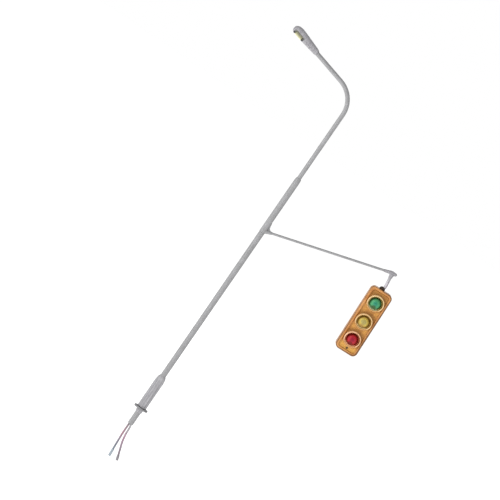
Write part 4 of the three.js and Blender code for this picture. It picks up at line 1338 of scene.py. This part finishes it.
hood_creams = {
    "green": (tone("dfb67c"), tone("eac893")),
    "amber": (tone("dfb277"), tone("ebc58e")),
    "red": (tone("dca479"), tone("efbd92")),
}
hood_foot = [
    (HOOD_RADIUS, FACE_FRONT + GAP), (HOOD_RADIUS, HOOD_FOOT_FRONT),
    (HOOD_BORE, HOOD_FOOT_FRONT), (HOOD_BORE, FACE_FRONT + GAP)]
for name, at in LIGHTS_AT.items():
    shape = made("hood_" + name, on_face(hood(), at))
    foot_ring = turned(soften(hood_foot, 0.08, closed=True), 72, closed=True)
    shape = carve(shape, [made("hood_foot_" + name, on_face(foot_ring, at))], "UNION")
    paint = hood_finish("hood_cream_" + name, at, *hood_creams[name])
    fit(shape, "visor_" + name, paint, face_place, crease=50)

# --- Bezels -----------------------------------------------------------------------------------------------
# A moulded ring holds each dome in its opening, pushed in from behind until its collar meets the face. Each
# is tinted by the light that it holds and dark with painted shadow from the hood, but paler along the bottom.


def bezel_finish(name, height, deep, dark, pale):
    """A tinted ring darkened by painted shadow from the hood, paler along its lit bottom."""
    finish = Finish(name, Coat_Weight=0.1)
    up = face_axes(finish, height)[1]
    ring_noise = finish.place.noise(2.0, 3)
    # Painted shadow of the hood darkens the ring; along the bottom, out of that shadow, it is painted pale.
    fading = (up + (ring_noise - 0.5) * 0.6).ramp(-0.75, -1.35)
    ring = ring_noise.ramp(0.3, 0.6).mix(deep, dark)
    finish.set(Base_Color=fading.mix(ring, pale), Roughness=ring_noise * 0.3 + 0.4)
    finish.bump(ring_noise, 0.012)
    return finish.material


bezel_tones = {
    "green": (tone("7c7632"), tone("b4a64c"), tone("b3b387")),
    "amber": (tone("8e6614"), tone("c8962c"), tone("cdb377")),
    "red": (tone("a23a24"), tone("d05a36"), tone("e0a274")),
}
BEZEL_BORE = 1.54
COLLAR_RADIUS = 2.05
COLLAR_BACK = FACE_BACK - GAP - 0.3
bezel_outline = soften([
    (COLLAR_RADIUS, COLLAR_BACK),
    (COLLAR_RADIUS, FACE_BACK - GAP),
    (BEZEL_RADIUS, FACE_BACK - GAP),
    (BEZEL_RADIUS, 1.56),
    (BEZEL_RADIUS - 0.06, 1.62),
    (BEZEL_BORE + 0.06, 1.6),
    (BEZEL_BORE, 1.5),
    (BEZEL_BORE, COLLAR_BACK),
], 0.03, closed=True)
for name, at in LIGHTS_AT.items():
    shape = made("bezel_shape_" + name, on_face(turned(bezel_outline, 72, closed=True), at))
    paint = bezel_finish("bezel_" + name, at, *bezel_tones[name])
    fit(shape, "bezel_" + name, paint, face_place)

# --- Domes ------------------------------------------------------------------------------------------------
# The lights are tinted domes moulded in clear plastic, each with a flange that the bezel traps and a hollow
# at the back for its LED. Their colour is deepest at the rim and paler in the middle, as painted reflection,
# and their lower edge carries a painted highlight.
DOME_RADIUS = 1.49
DOME_START = 1.35
DOME_HEIGHT = 1.15
DOME_STEPS = 24
dome_hollow = [(0, 0.65), (0.5, 0.62), (0.8, 0.5), (0.85, 0.3)]
dome_flange = [(1.72, 0.3), (1.75, 0.33), (1.75, 0.6), (DOME_RADIUS, 0.62)]
dome_outline = [*dome_hollow, *dome_flange]
for i in range(DOME_STEPS):
    turn = math.pi / 2 * i / DOME_STEPS
    dome_outline.append((DOME_RADIUS * math.cos(turn), DOME_START + DOME_HEIGHT * math.sin(turn)))
dome_outline.append((0, DOME_START + DOME_HEIGHT))


def dome_finish(name, height, tones, spot):
    """Tinted plastic: rings of tone paler inwards as painted reflection, a spot, and a painted highlight
    below.
    """
    finish = Finish(name, Roughness=0.4, Coat_Weight=0.05, Specular_IOR_Level=0.2)
    across, up = face_axes(finish, height)[:2]
    cloud = finish.place.noise(1.1, 3)
    drift = (cloud - 0.5) * 0.35
    away = ((across * across + up * up).sum("SQRT") + drift) / DOME_RADIUS
    # Painted reflection: the tint is deepest at the rim and paler inwards.
    rings = away.node("ShaderNodeValToRGB", {0: away}, stops=tones)
    below = up + 1.0
    patch = ((across * across * 0.7 + below * below).sum("SQRT") + drift).ramp(0.75, 0.25)
    # Painted highlight along the lower edge, below the hood's shade.
    edge = away.ramp(0.82, 1.0) * up.ramp(-0.9, -1.3)
    colour = (edge * 0.7).mix((patch * 0.8).mix(rings, spot[0]), spot[1])
    finish.set(Base_Color=colour)
    finish.bump(cloud, 0.015)
    return finish.material


dome_tones = {
    "green": (
        [(0.0, tone("2b8068")), (0.25, tone("338f70")), (0.6, tone("52a873")),
         (0.82, tone("468c5c")), (1.0, tone("2c5a34"))],
        (tone("3a4a24"), tone("a8c090"))),
    "amber": (
        [(0.0, tone("a89a5e")), (0.42, tone("b2a35c")), (0.56, tone("d2bc58")),
         (0.8, tone("bfa04c")), (1.0, tone("92702a"))],
        (tone("a8884c"), tone("cdb47c"))),
    "red": (
        [(0.0, tone("88182c")), (0.25, tone("a01c34")), (0.6, tone("bc2834")),
         (0.8, tone("9c1e1e")), (1.0, tone("78180f"))],
        (tone("64180f"), tone("94422a"))),
}
for name, at in LIGHTS_AT.items():
    shape = made("dome_shape_" + name, on_face(turned(dome_outline, 72), at))
    paint = dome_finish("dome_" + name, at, *dome_tones[name])
    fit(shape, "lens_" + name, paint, face_place, crease=50)

# --- LEDs and circuit board -------------------------------------------------------------------------------
# Behind each dome a small pale LED body is soldered to one green circuit board, which is held inside the
# housing between the cover's lip and its post.
led_pale = Finish("led_pale", Coat_Weight=0.3)
dust = led_pale.place.noise(6.0, 3)
led_pale.set(Base_Color=dust.ramp(0.3, 0.7).mix(tone("d8cfae"), tone("f4eed6")), Roughness=dust * 0.3 + 0.25)
led_pale.bump(dust, 0.01)
LED_HALF_WIDTH = 0.8
LED_HALF_HEIGHT = 0.45
LED_DEPTH = 0.42
BOARD_FRONT = -0.3
BOARD_THICK = 0.45
BOARD_HALF_WIDTH = 2.1
BOARD_HALF_HEIGHT = 7.65
BOARD_MIDDLE = 0.5
for name, at in LIGHTS_AT.items():
    low = (-LED_HALF_WIDTH, at - LED_HALF_HEIGHT, BOARD_FRONT + GAP)
    high = (LED_HALF_WIDTH, at + LED_HALF_HEIGHT, BOARD_FRONT + GAP + LED_DEPTH)
    shape = soft_block("led_shape_" + name, low, high, 0.06)
    fit(shape, "led_" + name, led_pale.material, face_place)
board_centre = (0, BOARD_MIDDLE, BOARD_FRONT - BOARD_THICK / 2)
signal_board = made("signal_board_shape", block(
    2 * BOARD_HALF_WIDTH, 2 * BOARD_HALF_HEIGHT, BOARD_THICK, board_centre))
corner_bevel = signal_board.modifiers.new("corners", "BEVEL")
corner_bevel.width = 0.06
corner_bevel.segments = 2
fit(signal_board, "signal_board", BOARD_GREEN, face_place)

# --- Housing screw ----------------------------------------------------------------------------------------
# One tiny dark steel screw, low on the face, goes through the housing into the cover's post and holds them
# together. Its head is domed and slotted.
screw_head = FACE_FRONT + GAP
screw_tip = SHELL_BACK + 0.1
screw_shank = [(0, screw_tip), (0.11, screw_tip), (0.15, screw_tip + 0.1), (0.15, screw_head)]
screw_cap = [(0.26, 0), (0.28, 0.04), (0.25, 0.11), (0.16, 0.16), (0, 0.19)]
screw_outline = [*screw_shank, *[(radius, screw_head + height) for radius, height in screw_cap]]
screw = made("screw_shape", turned(screw_outline, 40))
screw_brown = Finish("screw_brown", Roughness=0.45)
rust = screw_brown.place.noise(5.0, 3)
screw_brown.set(Base_Color=rust.ramp(0.3, 0.7).mix(tone("2a1a08"), tone("6a4a20")), Metallic=rust * 0.4)
screw_brown.bump(rust, 0.01)
screw = carve(screw, [made("screw_slot", block(1, 0.08, 0.2, (0, 0, screw_head + 0.2)))])
screw_place = face_place @ Matrix.Translation((0, SCREW_Y, 0))
fit(screw, "housing_screw", screw_brown.material, screw_place)
